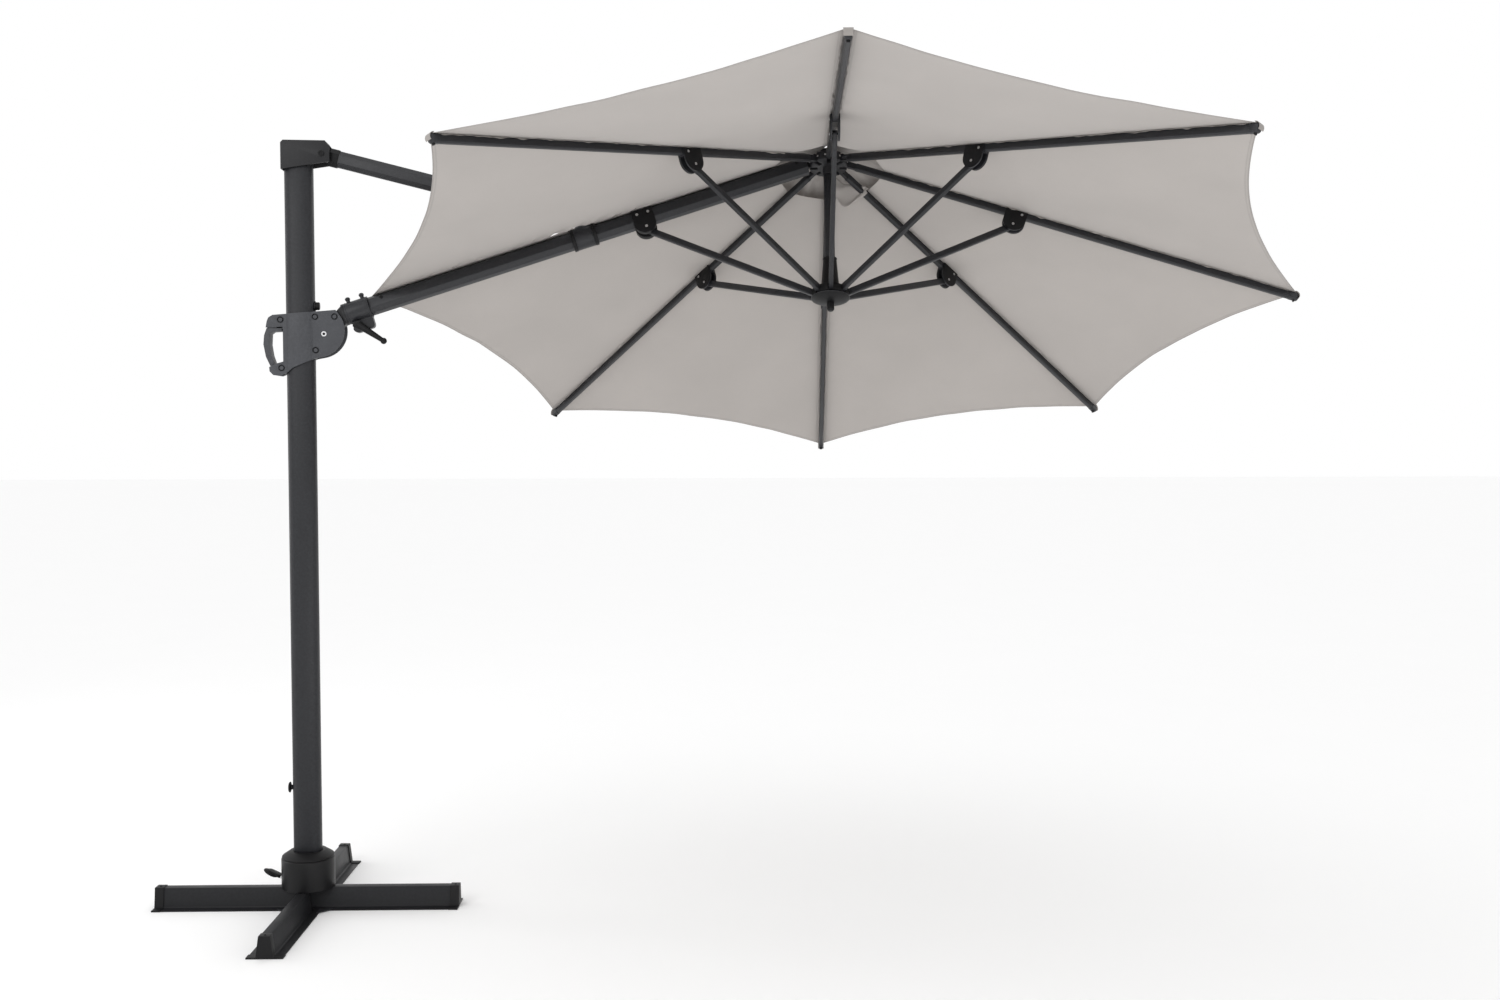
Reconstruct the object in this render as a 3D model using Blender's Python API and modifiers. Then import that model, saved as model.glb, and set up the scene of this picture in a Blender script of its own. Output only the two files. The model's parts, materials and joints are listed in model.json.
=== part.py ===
"""Cantilever parasol: a cross base, a swivelling mast, a sliding carriage, and an arm with a folding canopy.

Metres, +Z up. The origin is on the ground at the centre of the cross. +X points from the mast to the canopy.
Run it with: blender --background --python part.py
"""

import math

import bmesh
import bpy
from mathutils import Matrix, Vector

# ---- clearances and steps ----
GAP = 0.0003  # between pieces that touch
RUN = 0.0008  # round a sliding or turning fit
ROUND_STEPS = 24
PIN_STEPS = 8

# ---- base ----
CROSS_LENGTH = 1.00
CROSS_TURN = -3.49  # degrees about Z
LEG_HEIGHT = 0.068
LEG_TOP = 0.031
LEG_SPREAD = 0.048
LEG_WIDTH = 0.108
LEG_WALL = 0.003
CAP_LENGTH = 0.030
CAP_WALL = 0.002
CAP_END = 0.004
TIE_PLATE = (0.10, 0.036, 0.006)
POST_RADIUS = 0.024
POST_TOP = 0.62
POST_FLANGE_RADIUS = 0.076
POST_FLANGE = 0.008
HOUSING_RADIUS = 0.086
HOUSING_WALL = 0.005
HOUSING_TOP = 0.168
HOUSING_MOUTH = 0.060
HOUSING_EDGE = 0.003
PEDAL_PIVOT = (-0.064, 0.090)
PEDAL_SLOT_WIDTH = 0.024
PEDAL_SLOT_HEIGHTS = (0.004, 0.047)  # above the deck

# ---- mast ----
MAST_WIDTH = 0.091
MAST_DEPTH = 0.066
MAST_WALL = 0.0025
MAST_POWER = 2.7
MAST_BOTTOM = 0.135
MAST_TOP = 2.495
SKIRT_HEIGHT = 0.021
HEAD_TOP = 2.513
HEAD_HEIGHT = 0.093
HEAD_WALL = 0.005
HEAD_DEPTH = 0.082
HEAD_REACH = 0.0595  # past the front of the mast
STOP_HEIGHT = 1.984
STOP_RADIUS = 0.013
STOP_REACH = 0.015
KNOB_HEIGHT = 0.40
KNOB_RADIUS = 0.018
KNOB_REACH = 0.014

# ---- linkage between the mast, the carriage, the strut and the arm ----
PIVOT_REACH = 0.0335  # from the front of the mast to the carriage pivot and the head pivot
CARRIAGE_HEIGHT = 1.8925
HEAD_PIVOT_HEIGHT = 2.471
ARM_PITCH = 18.43  # degrees above level
PITCH_RANGE = 16.0  # degrees that the arm rises as the carriage slides down
ARM_ABOVE_PIVOT = 0.041
COLLAR_ALONG = 0.9003  # from the carriage pivot, along the arm
COLLAR_PIN_ABOVE = 0.0595  # above the arm axis
HUB_ALONG = 1.7577

# ---- carriage ----
CHEEK_FLAT = 0.030
CHEEK_WALL = 0.0045
WRAP_WALL = 0.005
CHEEK_TOP_SLOPE = 0.086
CHEEK_TOP = 0.0745
CHEEK_ARC = (-0.024, 0.0125, 0.0895)
KNUCKLE_SWEEP = 0.0755  # the knuckle's flange passes this far from the pivot
PIVOT_BOLT_RADIUS = 0.008
GRIP_HALF_WIDTH = 0.0245
GRIP_PIVOT = (-0.0185, 0.031)  # behind the mast and above the carriage pivot
GRIP_PIN_RADIUS = 0.003

# ---- knuckle and clamp ----
TONGUE_HALF = 0.021
TONGUE_ROOT = 0.022
FLANGE_START = 0.077
FLANGE = 0.0075
SLEEVE_WALL = 0.0037
SLEEVE_END = 0.1655
LOBE_HALF = 0.016
CLAMP_SPLIT = 0.002
LEVER_AT = (0.113, -0.005)
LEVER_BOSS = 0.0125
LEVER_ROOT = 0.0125
LEVER_TIP = 0.0072
LEVER_LENGTH = 0.097
LEVER_SLOPE = -51.4  # degrees from the arm's direction
LEVER_BALL = 0.0105
LEVER_STAND = 0.030

# ---- strut, collar and arm ----
STRUT_HEIGHT = 0.053
STRUT_WIDTH = 0.040
ARM_HEIGHT = 0.058
ARM_WIDTH = 0.050
TUBE_CHAMFER = 0.014
TUBE_WALL = 0.002
STRUT_TONGUE_HALF = 0.012
STRUT_EYE = 0.018
COLLAR_LENGTH = 0.060
COLLAR_EAR = 0.006
COLLAR_PIN_RADIUS = 0.006
STOP_RING = 0.012
ARM_START = 0.0875
ARM_END_GAP = 0.078

# ---- canopy ----
SPOKES = 8
ARM_SPOKE = 4
CANOPY_RADIUS = 1.50
CANOPY_TILT = 0.59  # degrees about Y, before the roll
CANOPY_ROLL = -20.04  # degrees about the arm
HUB_PIN_RADIUS = 0.05
PIN_RADIUS = 0.003
PIN_HOLE = 0.0037
RIB_HEIGHT = 0.025
RIB_WIDTH = 0.018
RIB_CHAMFER = 0.004
RIB_WALL = 0.0016
RIB_TONGUE_HALF = 0.006
RIB_TUBE_START = 0.045
BRACKET_ALONG = 0.5985
BRACKET_DROP = 0.043
BRACKET_RADIUS = 0.036
BRACKET_HALF = 0.0135
BRACKET_TOP = 0.008
BRACKET_SLOT = 0.0085
STAY_HEIGHT = 0.022
STAY_WIDTH = 0.015
STAY_CHAMFER = 0.003
STAY_WALL = 0.0015
STAY_EYE_HALF = 0.0068
STAY_EYE_RADIUS = 0.0102
STAY_TUBE_START = 0.018
POLE_RADIUS = 0.017
LUG_RADIUS = 0.064
LUG_SLOT_DEPTH = 0.036
NECK_HEIGHT = 0.125
NECK_RADIUS = 0.0215
DISH_RADIUS = 0.0625
FABRIC = 0.001
FABRIC_OVER_RIB = 0.0010
FABRIC_OVER_ARM = 0.00218
CORNER_FALL = 0.08  # of the step between arm and ribs, which the cover loses before the arm's corner
VENT_RADIUS = 0.19
VENT_CAP_RADIUS = 0.30
VENT_CAP_TOP = 0.048
VENT_CAP_SLOPE = 0.30
SCALLOP = 0.053  # of a panel's length, at its middle
SEAM_SHARE = 0.0015
COLLAR_SLOT = (0.16, 0.12)

PIVOT_OFFSET = MAST_WIDTH / 2 + PIVOT_REACH  # in front of the mast axis
MAST_BACK = -PIVOT_OFFSET - MAST_WIDTH / 2  # from the carriage pivot
ARM_CORNER = max(
    math.hypot(ARM_WIDTH / 2, ARM_HEIGHT / 2 - TUBE_CHAMFER),
    math.hypot(ARM_WIDTH / 2 - TUBE_CHAMFER, ARM_HEIGHT / 2),
)
SLEEVE_BORE = ARM_CORNER + RUN
SLEEVE_RADIUS = SLEEVE_BORE + SLEEVE_WALL

MODEL = bpy.data.collections.new("cantilever_parasol")


# ---- materials ----
def material(name, colour, roughness, metallic=0.0):
    made = bpy.data.materials.new(name)
    made.use_nodes = True
    shader = made.node_tree.nodes["Principled BSDF"]
    shader.inputs["Base Color"].default_value = (*colour, 1.0)
    shader.inputs["Roughness"].default_value = roughness
    shader.inputs["Metallic"].default_value = metallic
    return made


# ---- frames ----
def frame(name, place, parent=None):
    """An empty whose axes are a moving or repeated piece's own axes."""
    empty = bpy.data.objects.new(name, None)
    MODEL.objects.link(empty)
    empty.parent = parent
    empty.matrix_local = place
    return empty


def turn(axis, degrees):
    return Matrix.Rotation(math.radians(degrees), 4, axis)


def move(x, y, z):
    return Matrix.Translation((x, y, z))


# ---- outlines ----
def arc(x, y, radius, start, end, steps):
    """Points on a circle, from one angle to another, in degrees."""
    angles = [math.radians(start + (end - start) * i / steps) for i in range(steps + 1)]
    return [(x + radius * math.cos(a), y + radius * math.sin(a)) for a in angles]


def circle(radius, steps=ROUND_STEPS, x=0.0, y=0.0):
    return arc(x, y, radius, 0.0, 360.0, steps)[:-1]


def oval(half_width, half_depth, steps=40):
    """The mast's rounded section: a superellipse."""
    points = []
    for i in range(steps):
        a = 2 * math.pi * i / steps
        c, s = math.cos(a), math.sin(a)
        x = half_width * math.copysign(abs(c) ** (2 / MAST_POWER), c)
        y = half_depth * math.copysign(abs(s) ** (2 / MAST_POWER), s)
        points.append((x, y))
    return points


def mast_oval(grow=0.0):
    return oval(MAST_WIDTH / 2 + grow, MAST_DEPTH / 2 + grow)


def octagon(width, height, chamfer, grow=0.0):
    """A rectangle with its four corners cut off, across Y and Z."""
    w, h, c = width / 2 + grow, height / 2 + grow, chamfer + grow * (2 - math.sqrt(2))
    right = [(w, c - h), (w, h - c), (w - c, h)]
    left = [(c - w, h), (-w, h - c), (-w, c - h)]
    return [*right, *left, (c - w, -h), (w - c, -h)]


def tube_section(width, height, chamfer, wall):
    return [octagon(width, height, chamfer), octagon(width, height, chamfer, -wall)]


def rectangle(x0, x1, y0, y1):
    return [(x0, y0), (x1, y0), (x1, y1), (x0, y1)]


def stadium(x0, x1, radius, steps=8):
    """A bar with two round ends, along the first axis."""
    return arc(x1, 0, radius, -90, 90, steps) + arc(x0, 0, radius, 90, 270, steps)


# ---- solids ----
def weld(mesh):
    """Close a mesh's caps onto its walls and turn its faces outwards."""
    shape = bmesh.new()
    shape.from_mesh(mesh)
    bmesh.ops.remove_doubles(shape, verts=shape.verts, dist=0.00001)
    bmesh.ops.recalc_face_normals(shape, faces=shape.faces)
    shape.to_mesh(mesh)
    shape.free()


def baked_mesh(obj, name):
    """The object's mesh as its curve or modifiers make it, in its own axes."""
    bpy.context.view_layer.update()
    evaluated = obj.evaluated_get(bpy.context.evaluated_depsgraph_get())
    mesh = bpy.data.meshes.new_from_object(evaluated)
    mesh.name = name
    return mesh


def add(name, mesh, look=None, parent=None, place=None):
    made = bpy.data.objects.new(name, mesh)
    MODEL.objects.link(made)
    made.parent = parent
    made.matrix_local = place or Matrix()
    if look:
        mesh.materials.clear()
        mesh.materials.append(look)
    return made


AXES = {
    "X": Matrix(((0, 0, 1, 0), (1, 0, 0, 0), (0, 1, 0, 0), (0, 0, 0, 1))),
    "Y": Matrix(((1, 0, 0, 0), (0, 0, -1, 0), (0, 1, 0, 0), (0, 0, 0, 1))),
    "Z": Matrix(),
}


def prism(axis, outlines, low, high):
    """A mesh: flat outlines, the first one solid and the others holes in it, drawn out from low to high.

    Along X the outlines are in Y and Z, along Y in X and Z, and along Z in X and Y.
    """
    curve = bpy.data.curves.new("outline", "CURVE")
    curve.dimensions = "2D"
    curve.fill_mode = "BOTH"
    curve.extrude = (high - low) / 2
    for points in outlines:
        spline = curve.splines.new("POLY")
        spline.points.add(len(points) - 1)
        for point, (x, y) in zip(spline.points, points):
            point.co = (x, y, 0, 1)
        spline.use_cyclic_u = True
    drawn = bpy.data.objects.new("outline", curve)
    MODEL.objects.link(drawn)
    mesh = baked_mesh(drawn, "prism")
    bpy.data.objects.remove(drawn)
    weld(mesh)
    middle = (low + high) / 2
    offset = {"X": (middle, 0, 0), "Y": (0, middle, 0), "Z": (0, 0, middle)}[axis]
    mesh.transform(Matrix.Translation(offset) @ AXES[axis])
    return mesh


def turned(profile, steps=ROUND_STEPS):
    """A mesh: a profile of (radius, height) points, down its outer side, turned about Z."""
    mesh = bpy.data.meshes.new("turned")
    edges = [(i, i + 1) for i in range(len(profile) - 1)]
    mesh.from_pydata([(r, 0, z) for r, z in profile], edges, [])
    spun = bpy.data.objects.new("turned", mesh)
    MODEL.objects.link(spun)
    screw = spun.modifiers.new("Screw", "SCREW")
    screw.steps = screw.render_steps = steps
    screw.use_merge_vertices = True
    screw.merge_threshold = 0.00005
    made = baked_mesh(spun, "turned")
    bpy.data.objects.remove(spun)
    weld(made)
    return made


def rod(axis, radius, low, high, at=(0.0, 0.0), steps=PIN_STEPS):
    """A round bar along an axis, at a place in the other two."""
    return prism(axis, [circle(radius, steps, *at)], low, high)


def placed(mesh, place):
    mesh.transform(place)
    return mesh


def carve(mesh, joins=(), cuts=(), common=()):
    """A mesh joined to, cut by and then limited to other meshes, one after another."""
    target = add("target", mesh)
    for operation, tools in (("UNION", joins), ("DIFFERENCE", cuts), ("INTERSECT", common)):
        for tool_mesh in tools:
            tool = add("cutter", tool_mesh)
            boolean = target.modifiers.new(operation, "BOOLEAN")
            boolean.operation = operation
            boolean.object = tool
            made = baked_mesh(target, "carved")
            target.modifiers.clear()
            target.data = made
            bpy.data.objects.remove(tool)
    made = target.data
    bpy.data.objects.remove(target)
    return made


def smooth(obj, degrees=35):
    obj.data.shade_smooth()
    obj.data.set_sharp_from_angle(angle=math.radians(degrees))
    return obj


# ---- base ----
def leg_section():
    """The leg's bent sheet: two feet, two leaning walls and a flat top."""
    foot, base, top, t = LEG_WIDTH / 2, LEG_SPREAD / 2, LEG_TOP / 2, LEG_WALL
    right = [(foot, 0), (foot, t), (base, t), (top, LEG_HEIGHT)]
    inner = [(top - t, LEG_HEIGHT - t), (base - t, 0)]
    outer_left = [(-x, y) for x, y in reversed(right)]
    inner_left = [(-x, y) for x, y in reversed(inner)]
    return right + outer_left + inner_left + inner


def cap_section(grow, floor):
    """The leg's filled outline, grown on every side but the ground."""
    foot, base, top = LEG_WIDTH / 2 + grow, LEG_SPREAD / 2 + grow, LEG_TOP / 2 + grow
    right = [(foot, floor), (foot, LEG_WALL + grow), (base, LEG_WALL + grow), (top, LEG_HEIGHT + grow)]
    return right + [(-x, y) for x, y in reversed(right)]


def build_base(looks):
    steel, black, iron = looks["frame"], looks["black"], looks["housing"]
    cross = frame("cross_frame", turn("Z", CROSS_TURN))
    arms = [frame(f"leg_frame_{i}", turn("Z", 90 * i), cross) for i in range(4)]
    end = CROSS_LENGTH / 2 - CAP_END - GAP
    start = LEG_WIDTH / 2 + GAP
    add("leg_long", prism("X", [leg_section()], -end, end), steel, cross)
    add("leg_rear", prism("X", [leg_section()], start, end), steel, arms[1])
    add("leg_front", prism("X", [leg_section()], start, end), steel, arms[3])
    cap_start = CROSS_LENGTH / 2 - CAP_LENGTH
    cap = carve(
        prism("X", [cap_section(CAP_WALL, 0.0)], cap_start, CROSS_LENGTH / 2),
        cuts=[prism("X", [cap_section(GAP, -CAP_LENGTH)], cap_start - 0.01, end + GAP)],
    )
    for name, arm in zip(("right", "rear", "left", "front"), arms):
        add(f"end_cap_{name}", cap.copy(), black, arm)
    length, width, thick = TIE_PLATE
    plate = rectangle(-length / 2, length / 2, -width / 2, width / 2)
    add("tie_plate", prism("Z", [plate], 0, thick), steel, cross)
    deck = LEG_HEIGHT + GAP
    flange_top = deck + POST_FLANGE
    post = [(0, POST_TOP), (POST_RADIUS, POST_TOP), (POST_RADIUS, flange_top)]
    post += [(POST_FLANGE_RADIUS, flange_top), (POST_FLANGE_RADIUS, deck), (0, deck)]
    smooth(add("swivel_post", turned(post), steel, cross))
    mouth, inner = HOUSING_MOUTH, HOUSING_RADIUS - HOUSING_WALL
    edge = HOUSING_EDGE
    shell = [(mouth, HOUSING_TOP), (HOUSING_RADIUS - edge, HOUSING_TOP), (HOUSING_RADIUS, HOUSING_TOP - edge)]
    shell += [(HOUSING_RADIUS, deck), (inner, deck), (inner, HOUSING_TOP - HOUSING_WALL)]
    shell += [(mouth, HOUSING_TOP - HOUSING_WALL), (mouth, HOUSING_TOP)]
    half = PEDAL_SLOT_WIDTH / 2
    low, high = PEDAL_SLOT_HEIGHTS
    opening = rectangle(-half, half, deck + low, deck + high)
    slot = prism("X", [opening], -HOUSING_RADIUS - 0.01, -inner + 0.01)
    smooth(add("housing", carve(turned(shell, 48), cuts=[slot]), iron, cross))
    build_pedal(black, cross)


def build_pedal(look, cross):
    """A flat shank through the housing's slot, with a paddle for the foot."""
    pivot = frame("pedal_frame", move(PEDAL_PIVOT[0], 0, PEDAL_PIVOT[1]), cross)
    shank = prism("Y", [[(0.008, -0.006), (0.008, 0.006), (-0.030, 0.014), (-0.034, 0.006)]], -0.004, 0.004)
    tilt = move(-0.047, 0, 0.021) @ turn("Y", 25)
    outline = stadium(-0.012, 0.012, 0.013)
    paddle = placed(prism("Z", [outline], -0.005, 0.005), tilt)
    smooth(add("foot_pedal", carve(shank, joins=[paddle]), look, pivot))


# ---- mast ----
def build_mast(looks):
    steel, black = looks["frame"], looks["black"]
    mast = frame("mast_frame", Matrix())
    tube = [mast_oval(), mast_oval(-MAST_WALL)]
    smooth(add("mast_tube", prism("Z", tube, MAST_BOTTOM, MAST_TOP), steel, mast))
    low = HOUSING_TOP + GAP
    rim = HOUSING_RADIUS - 0.002
    skirt = [(0, low + SKIRT_HEIGHT), (0.060, low + SKIRT_HEIGHT), (rim, low + 0.005), (rim, low), (0, low)]
    hole = prism("Z", [mast_oval(GAP)], low - 0.01, low + 0.05)
    smooth(add("mast_skirt", carve(turned(skirt, 48), cuts=[hole]), black, mast))
    build_head(black, mast)
    face = MAST_WIDTH / 2 + GAP
    stop = rod("X", STOP_RADIUS, face, face + STOP_REACH, (0, STOP_HEIGHT), 16)
    smooth(add("upper_stop", stop, black, mast))
    knob = [(0, KNOB_REACH), (KNOB_RADIUS - 0.004, KNOB_REACH), (KNOB_RADIUS, KNOB_REACH - 0.003)]
    knob += [(KNOB_RADIUS, KNOB_REACH - 0.006), (0.008, KNOB_REACH - 0.008), (0.008, 0), (0, 0)]
    place = move(-face, 0, KNOB_HEIGHT) @ turn("Y", -90)
    smooth(add("lower_knob", turned(knob, 16), black, mast, place))


def build_head(look, mast):
    """The head casting: a hood over the mast, open below and towards the strut."""
    top, bottom = HEAD_TOP, HEAD_TOP - HEAD_HEIGHT
    back, front = -MAST_WIDTH / 2 - 0.004, MAST_WIDTH / 2 + HEAD_REACH
    half = HEAD_DEPTH / 2
    hood = [(back, bottom), (back, top - 0.008), (back + 0.008, top), (front - 0.014, top)]
    hood += [(front, top - 0.020), (front, bottom + 0.026)]
    room = [(back + HEAD_WALL - 0.0015, bottom - 0.02), (back + HEAD_WALL - 0.0015, MAST_TOP + 0.002)]
    room += [(front + 0.02, MAST_TOP + 0.010), (front + 0.02, bottom - 0.02)]
    inner = half - HEAD_WALL
    bolts = [rod("Y", 0.010, -half - 0.004, 0.002 - half, (PIVOT_OFFSET, HEAD_PIVOT_HEIGHT), 16)]
    bolts += [rod("Y", 0.010, half - 0.002, half + 0.004, (PIVOT_OFFSET, HEAD_PIVOT_HEIGHT), 16)]
    head = carve(prism("Y", [hood], -half, half), bolts, [prism("Y", [room], -inner, inner)])
    smooth(add("mast_head", head, look, mast))


# ---- carriage ----
def cheek_outline():
    """The carriage from the side, about its pivot: two ears behind, a wrap on the mast and a rounded nose."""
    x0, z0, radius = CHEEK_ARC
    rear = MAST_BACK
    steepest = math.radians(ARM_PITCH + PITCH_RANGE)
    c, s = math.cos(steepest), math.sin(steepest)
    nose = []
    for x, z in arc(x0, z0, radius, 47, -80, 18):
        over = max(0.0, x * c + z * s - KNUCKLE_SWEEP)
        nose.append((x - over * c, z - over * s))
    top = [(rear - 0.0125, CHEEK_TOP + (rear - 0.0125) * CHEEK_TOP_SLOPE)]
    below = [(-0.031, -0.080), (rear + 0.0255, -0.110), (rear + 0.0045, -0.127)]
    below += [(rear - 0.0201, -0.1367), (rear - 0.0385, -0.134)]
    lower_ear = [(-0.050, -0.122), (-0.0511, -0.108), (-0.0275, -0.0965), (-0.0063, -0.090)]
    upper_ear = [(-0.0063, 0.0225), (-0.0605, 0.0195), (-0.057, 0.040), (-0.052, 0.052), (-0.0385, 0.0605)]
    return top + nose + below + [(rear + x, z) for x, z in lower_ear + upper_ear]


def cheek_plan():
    """The plan of one half: a half ring round the mast with a flat wing before and behind it."""
    def ring(grow):
        points = [(x, y) for x, y in mast_oval(grow) if y < -GAP]
        edge = MAST_WIDTH / 2 + grow
        return [(-edge, -GAP / 2)] + sorted(points) + [(edge, -GAP / 2)]

    outer = ring(RUN + WRAP_WALL)
    flat, inner_flat = -CHEEK_FLAT, -CHEEK_FLAT + CHEEK_WALL
    rear_low = [p for p in outer if p[0] < 0 and p[1] > inner_flat]
    front_low = [p for p in outer if p[0] > 0 and p[1] > inner_flat]
    bulge = [p for p in outer if p[1] < flat]
    rear_edge = -MAST_WIDTH / 2 - 0.0695
    front_edge = PIVOT_OFFSET + 0.086
    plan = rear_low + [(rear_low[-1][0] + 0.0012, inner_flat), (rear_edge, inner_flat), (rear_edge, flat)]
    plan += [(bulge[0][0] - 0.0015, flat)] + bulge + [(bulge[-1][0] + 0.0015, flat), (front_edge, flat)]
    plan += [(front_edge, inner_flat), (front_low[0][0] - 0.0012, inner_flat)] + front_low
    plan += list(reversed(ring(RUN)))
    return [(x - PIVOT_OFFSET, y) for x, y in plan]


def build_carriage(looks):
    black, steel = looks["cheek"], looks["bolt"]
    pivot = frame("carriage_frame", move(PIVOT_OFFSET, 0, CARRIAGE_HEIGHT))
    side = prism("Y", [cheek_outline()], -0.08, 0.08)
    hole = rod("Y", PIVOT_BOLT_RADIUS + GAP, -0.06, 0.06, steps=24)
    half = carve(prism("Z", [cheek_plan()], -0.15, 0.09), cuts=[hole.copy()], common=[side])
    smooth(add("cheek_front", half, black, pivot))
    back = placed(half.copy(), Matrix.Scale(-1, 4, (0, 1, 0)))
    back.flip_normals()
    smooth(add("cheek_rear", back, black, pivot))
    reach = CHEEK_FLAT + 0.0005
    smooth(add("pivot_bolt", rod("Y", PIVOT_BOLT_RADIUS, -reach, reach, steps=24), steel, pivot))
    block_half = CHEEK_FLAT - CHEEK_WALL - GAP
    block = [(-0.025, -0.072), (-0.006, -0.070), (0.020, -0.058), (0.034, -0.046)]
    block += [(0.028, -0.036), (-0.025, -0.036)]
    add("latch_block", prism("Y", [block], -block_half, block_half), black, pivot)
    build_grip(black, pivot)
    return hole


def build_grip(look, pivot):
    """The squeeze grip: it hangs from a pin under the upper ear and bows out behind the hand's gap."""
    place = frame("grip_frame", move(MAST_BACK + GRIP_PIVOT[0], 0, GRIP_PIVOT[1]), pivot)
    lug = arc(0, 0, 0.0075, 180, 0, 8)
    outline = [(-0.0405, -0.0135), (-0.0075, -0.0118), *lug, (0.008, -0.0222), (-0.022, -0.0242)]
    outline += [(-0.0305, -0.031), (-0.0325, -0.066), (-0.027, -0.101), (-0.0175, -0.1295), (-0.030, -0.1355)]
    outline += [(-0.0435, -0.106), (-0.051, -0.066), (-0.0485, -0.036)]
    reach = CHEEK_FLAT - CHEEK_WALL - GAP
    grip = carve(
        prism("Y", [outline], -GRIP_HALF_WIDTH, GRIP_HALF_WIDTH),
        [rod("Y", GRIP_PIN_RADIUS, -reach, reach)],
    )
    smooth(add("squeeze_grip", grip, look, place), 50)


# ---- knuckle ----
def build_knuckle(looks, hole):
    black, frame_look = looks["black"], looks["frame"]
    place = move(PIVOT_OFFSET, 0, CARRIAGE_HEIGHT) @ turn("Y", -ARM_PITCH)
    knuckle = frame("knuckle_frame", place)
    axis = ARM_ABOVE_PIVOT
    root = arc(0, 0, TONGUE_ROOT, 120, 285, 12)
    tongue = root + [(FLANGE_START + 0.002, 0.010), (FLANGE_START + 0.002, 0.070)]
    disc = rod("X", SLEEVE_RADIUS, FLANGE_START, FLANGE_START + FLANGE, (0, axis), ROUND_STEPS)
    yoke = carve(prism("Y", [tongue], -TONGUE_HALF, TONGUE_HALF), [disc], [hole])
    smooth(add("tilt_yoke", yoke, black, knuckle))
    start = FLANGE_START + FLANGE + GAP
    lobe = [(0.094, 0.025), (0.0945, -0.008)] + arc(0.108, -0.013, 0.016, 180, 270, 4)
    lobe += [(0.142, -0.028)] + arc(0.150, -0.016, 0.0125, -70, 0, 3) + [(SLEEVE_END - 0.001, 0.025)]
    sleeve = rod("X", SLEEVE_RADIUS, start, SLEEVE_END, (0, axis), ROUND_STEPS)
    bolts = [rod("Z", 0.0065, axis + 0.030, axis + 0.0445, (x, 0), 12) for x in (0.1035, 0.150)]
    bore = rod("X", SLEEVE_BORE, start - 0.01, SLEEVE_END + 0.01, (0, axis), ROUND_STEPS)
    opened = rectangle(start - 0.01, SLEEVE_END + 0.01, -0.04, axis - 0.02)
    split = prism("Y", [opened], -CLAMP_SPLIT / 2, CLAMP_SPLIT / 2)
    clamp = carve(sleeve, [prism("Y", [lobe], -LOBE_HALF, LOBE_HALF), *bolts], [bore, split])
    smooth(add("arm_clamp", clamp, frame_look, knuckle))
    build_lever(black, knuckle)
    build_collar(frame_look, looks["bolt"], knuckle)
    return knuckle


def build_lever(look, knuckle):
    """The clamp lever: a boss on the clamp screw, a tapered handle and a ball."""
    pivot = frame("lever_frame", move(LEVER_AT[0], 0, LEVER_AT[1]), knuckle)
    boss = rod("Y", LEVER_BOSS, -LEVER_STAND - 0.006, -LOBE_HALF - GAP, steps=20)
    shape = bmesh.new()
    sizes = {"radius1": LEVER_ROOT, "radius2": LEVER_TIP, "depth": LEVER_LENGTH}
    bmesh.ops.create_cone(shape, cap_ends=True, segments=16, **sizes)
    handle = bpy.data.meshes.new("handle")
    shape.to_mesh(handle)
    shape.free()
    along = turn("Y", 90 - LEVER_SLOPE)
    out = move(0, -LEVER_STAND, 0) @ along @ move(0, 0, LEVER_LENGTH / 2)
    shape = bmesh.new()
    bmesh.ops.create_uvsphere(shape, u_segments=16, v_segments=10, radius=LEVER_BALL)
    ball = bpy.data.meshes.new("ball")
    shape.to_mesh(ball)
    shape.free()
    end = move(0, -LEVER_STAND, 0) @ along @ move(0, 0, LEVER_LENGTH)
    lever = carve(boss, [placed(handle, out), placed(ball, end)])
    smooth(add("clamp_lever", lever, look, pivot))


def build_collar(look, bolt, knuckle):
    """The collar that the strut holds: a ring the arm turns in, with two ears and a pin."""
    axis, low, high = ARM_ABOVE_PIVOT, COLLAR_ALONG - COLLAR_LENGTH / 2, COLLAR_ALONG + COLLAR_LENGTH / 2
    ear_half = STRUT_TONGUE_HALF + RUN + COLLAR_EAR
    pin_at = (COLLAR_ALONG, axis + COLLAR_PIN_ABOVE)
    ears = [(low + 0.008, axis + 0.02), (high - 0.008, axis + 0.02)] + arc(*pin_at, 0.015, 0, 180, 8)
    slot_half = STRUT_TONGUE_HALF + RUN
    slot = rectangle(low - 0.01, high + 0.01, axis + SLEEVE_RADIUS + 0.0005, axis + 0.10)
    ring = rod("X", SLEEVE_RADIUS, low, high, (0, axis), ROUND_STEPS)
    bore = rod("X", SLEEVE_BORE, low - 0.01, high + 0.01, (0, axis), ROUND_STEPS)
    hole = rod("Y", COLLAR_PIN_RADIUS + GAP, -0.05, 0.05, pin_at, 16)
    cuts = [bore, prism("Y", [slot], -slot_half, slot_half), hole]
    collar = carve(ring, [prism("Y", [ears], -ear_half, ear_half)], cuts)
    smooth(add("strut_collar", collar, look, knuckle))
    reach = ear_half + 0.004
    smooth(add("collar_pin", rod("Y", COLLAR_PIN_RADIUS, -reach, reach, pin_at, 16), bolt, knuckle))


# ---- upper strut ----
def strut_ends():
    """The head pivot and the collar pin, in the XZ plane."""
    head = Vector((PIVOT_OFFSET, 0, HEAD_PIVOT_HEIGHT))
    along = Vector((COLLAR_ALONG, 0, ARM_ABOVE_PIVOT + COLLAR_PIN_ABOVE))
    collar = Vector((PIVOT_OFFSET, 0, CARRIAGE_HEIGHT)) + turn("Y", -ARM_PITCH).to_3x3() @ along
    return head, collar


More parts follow.
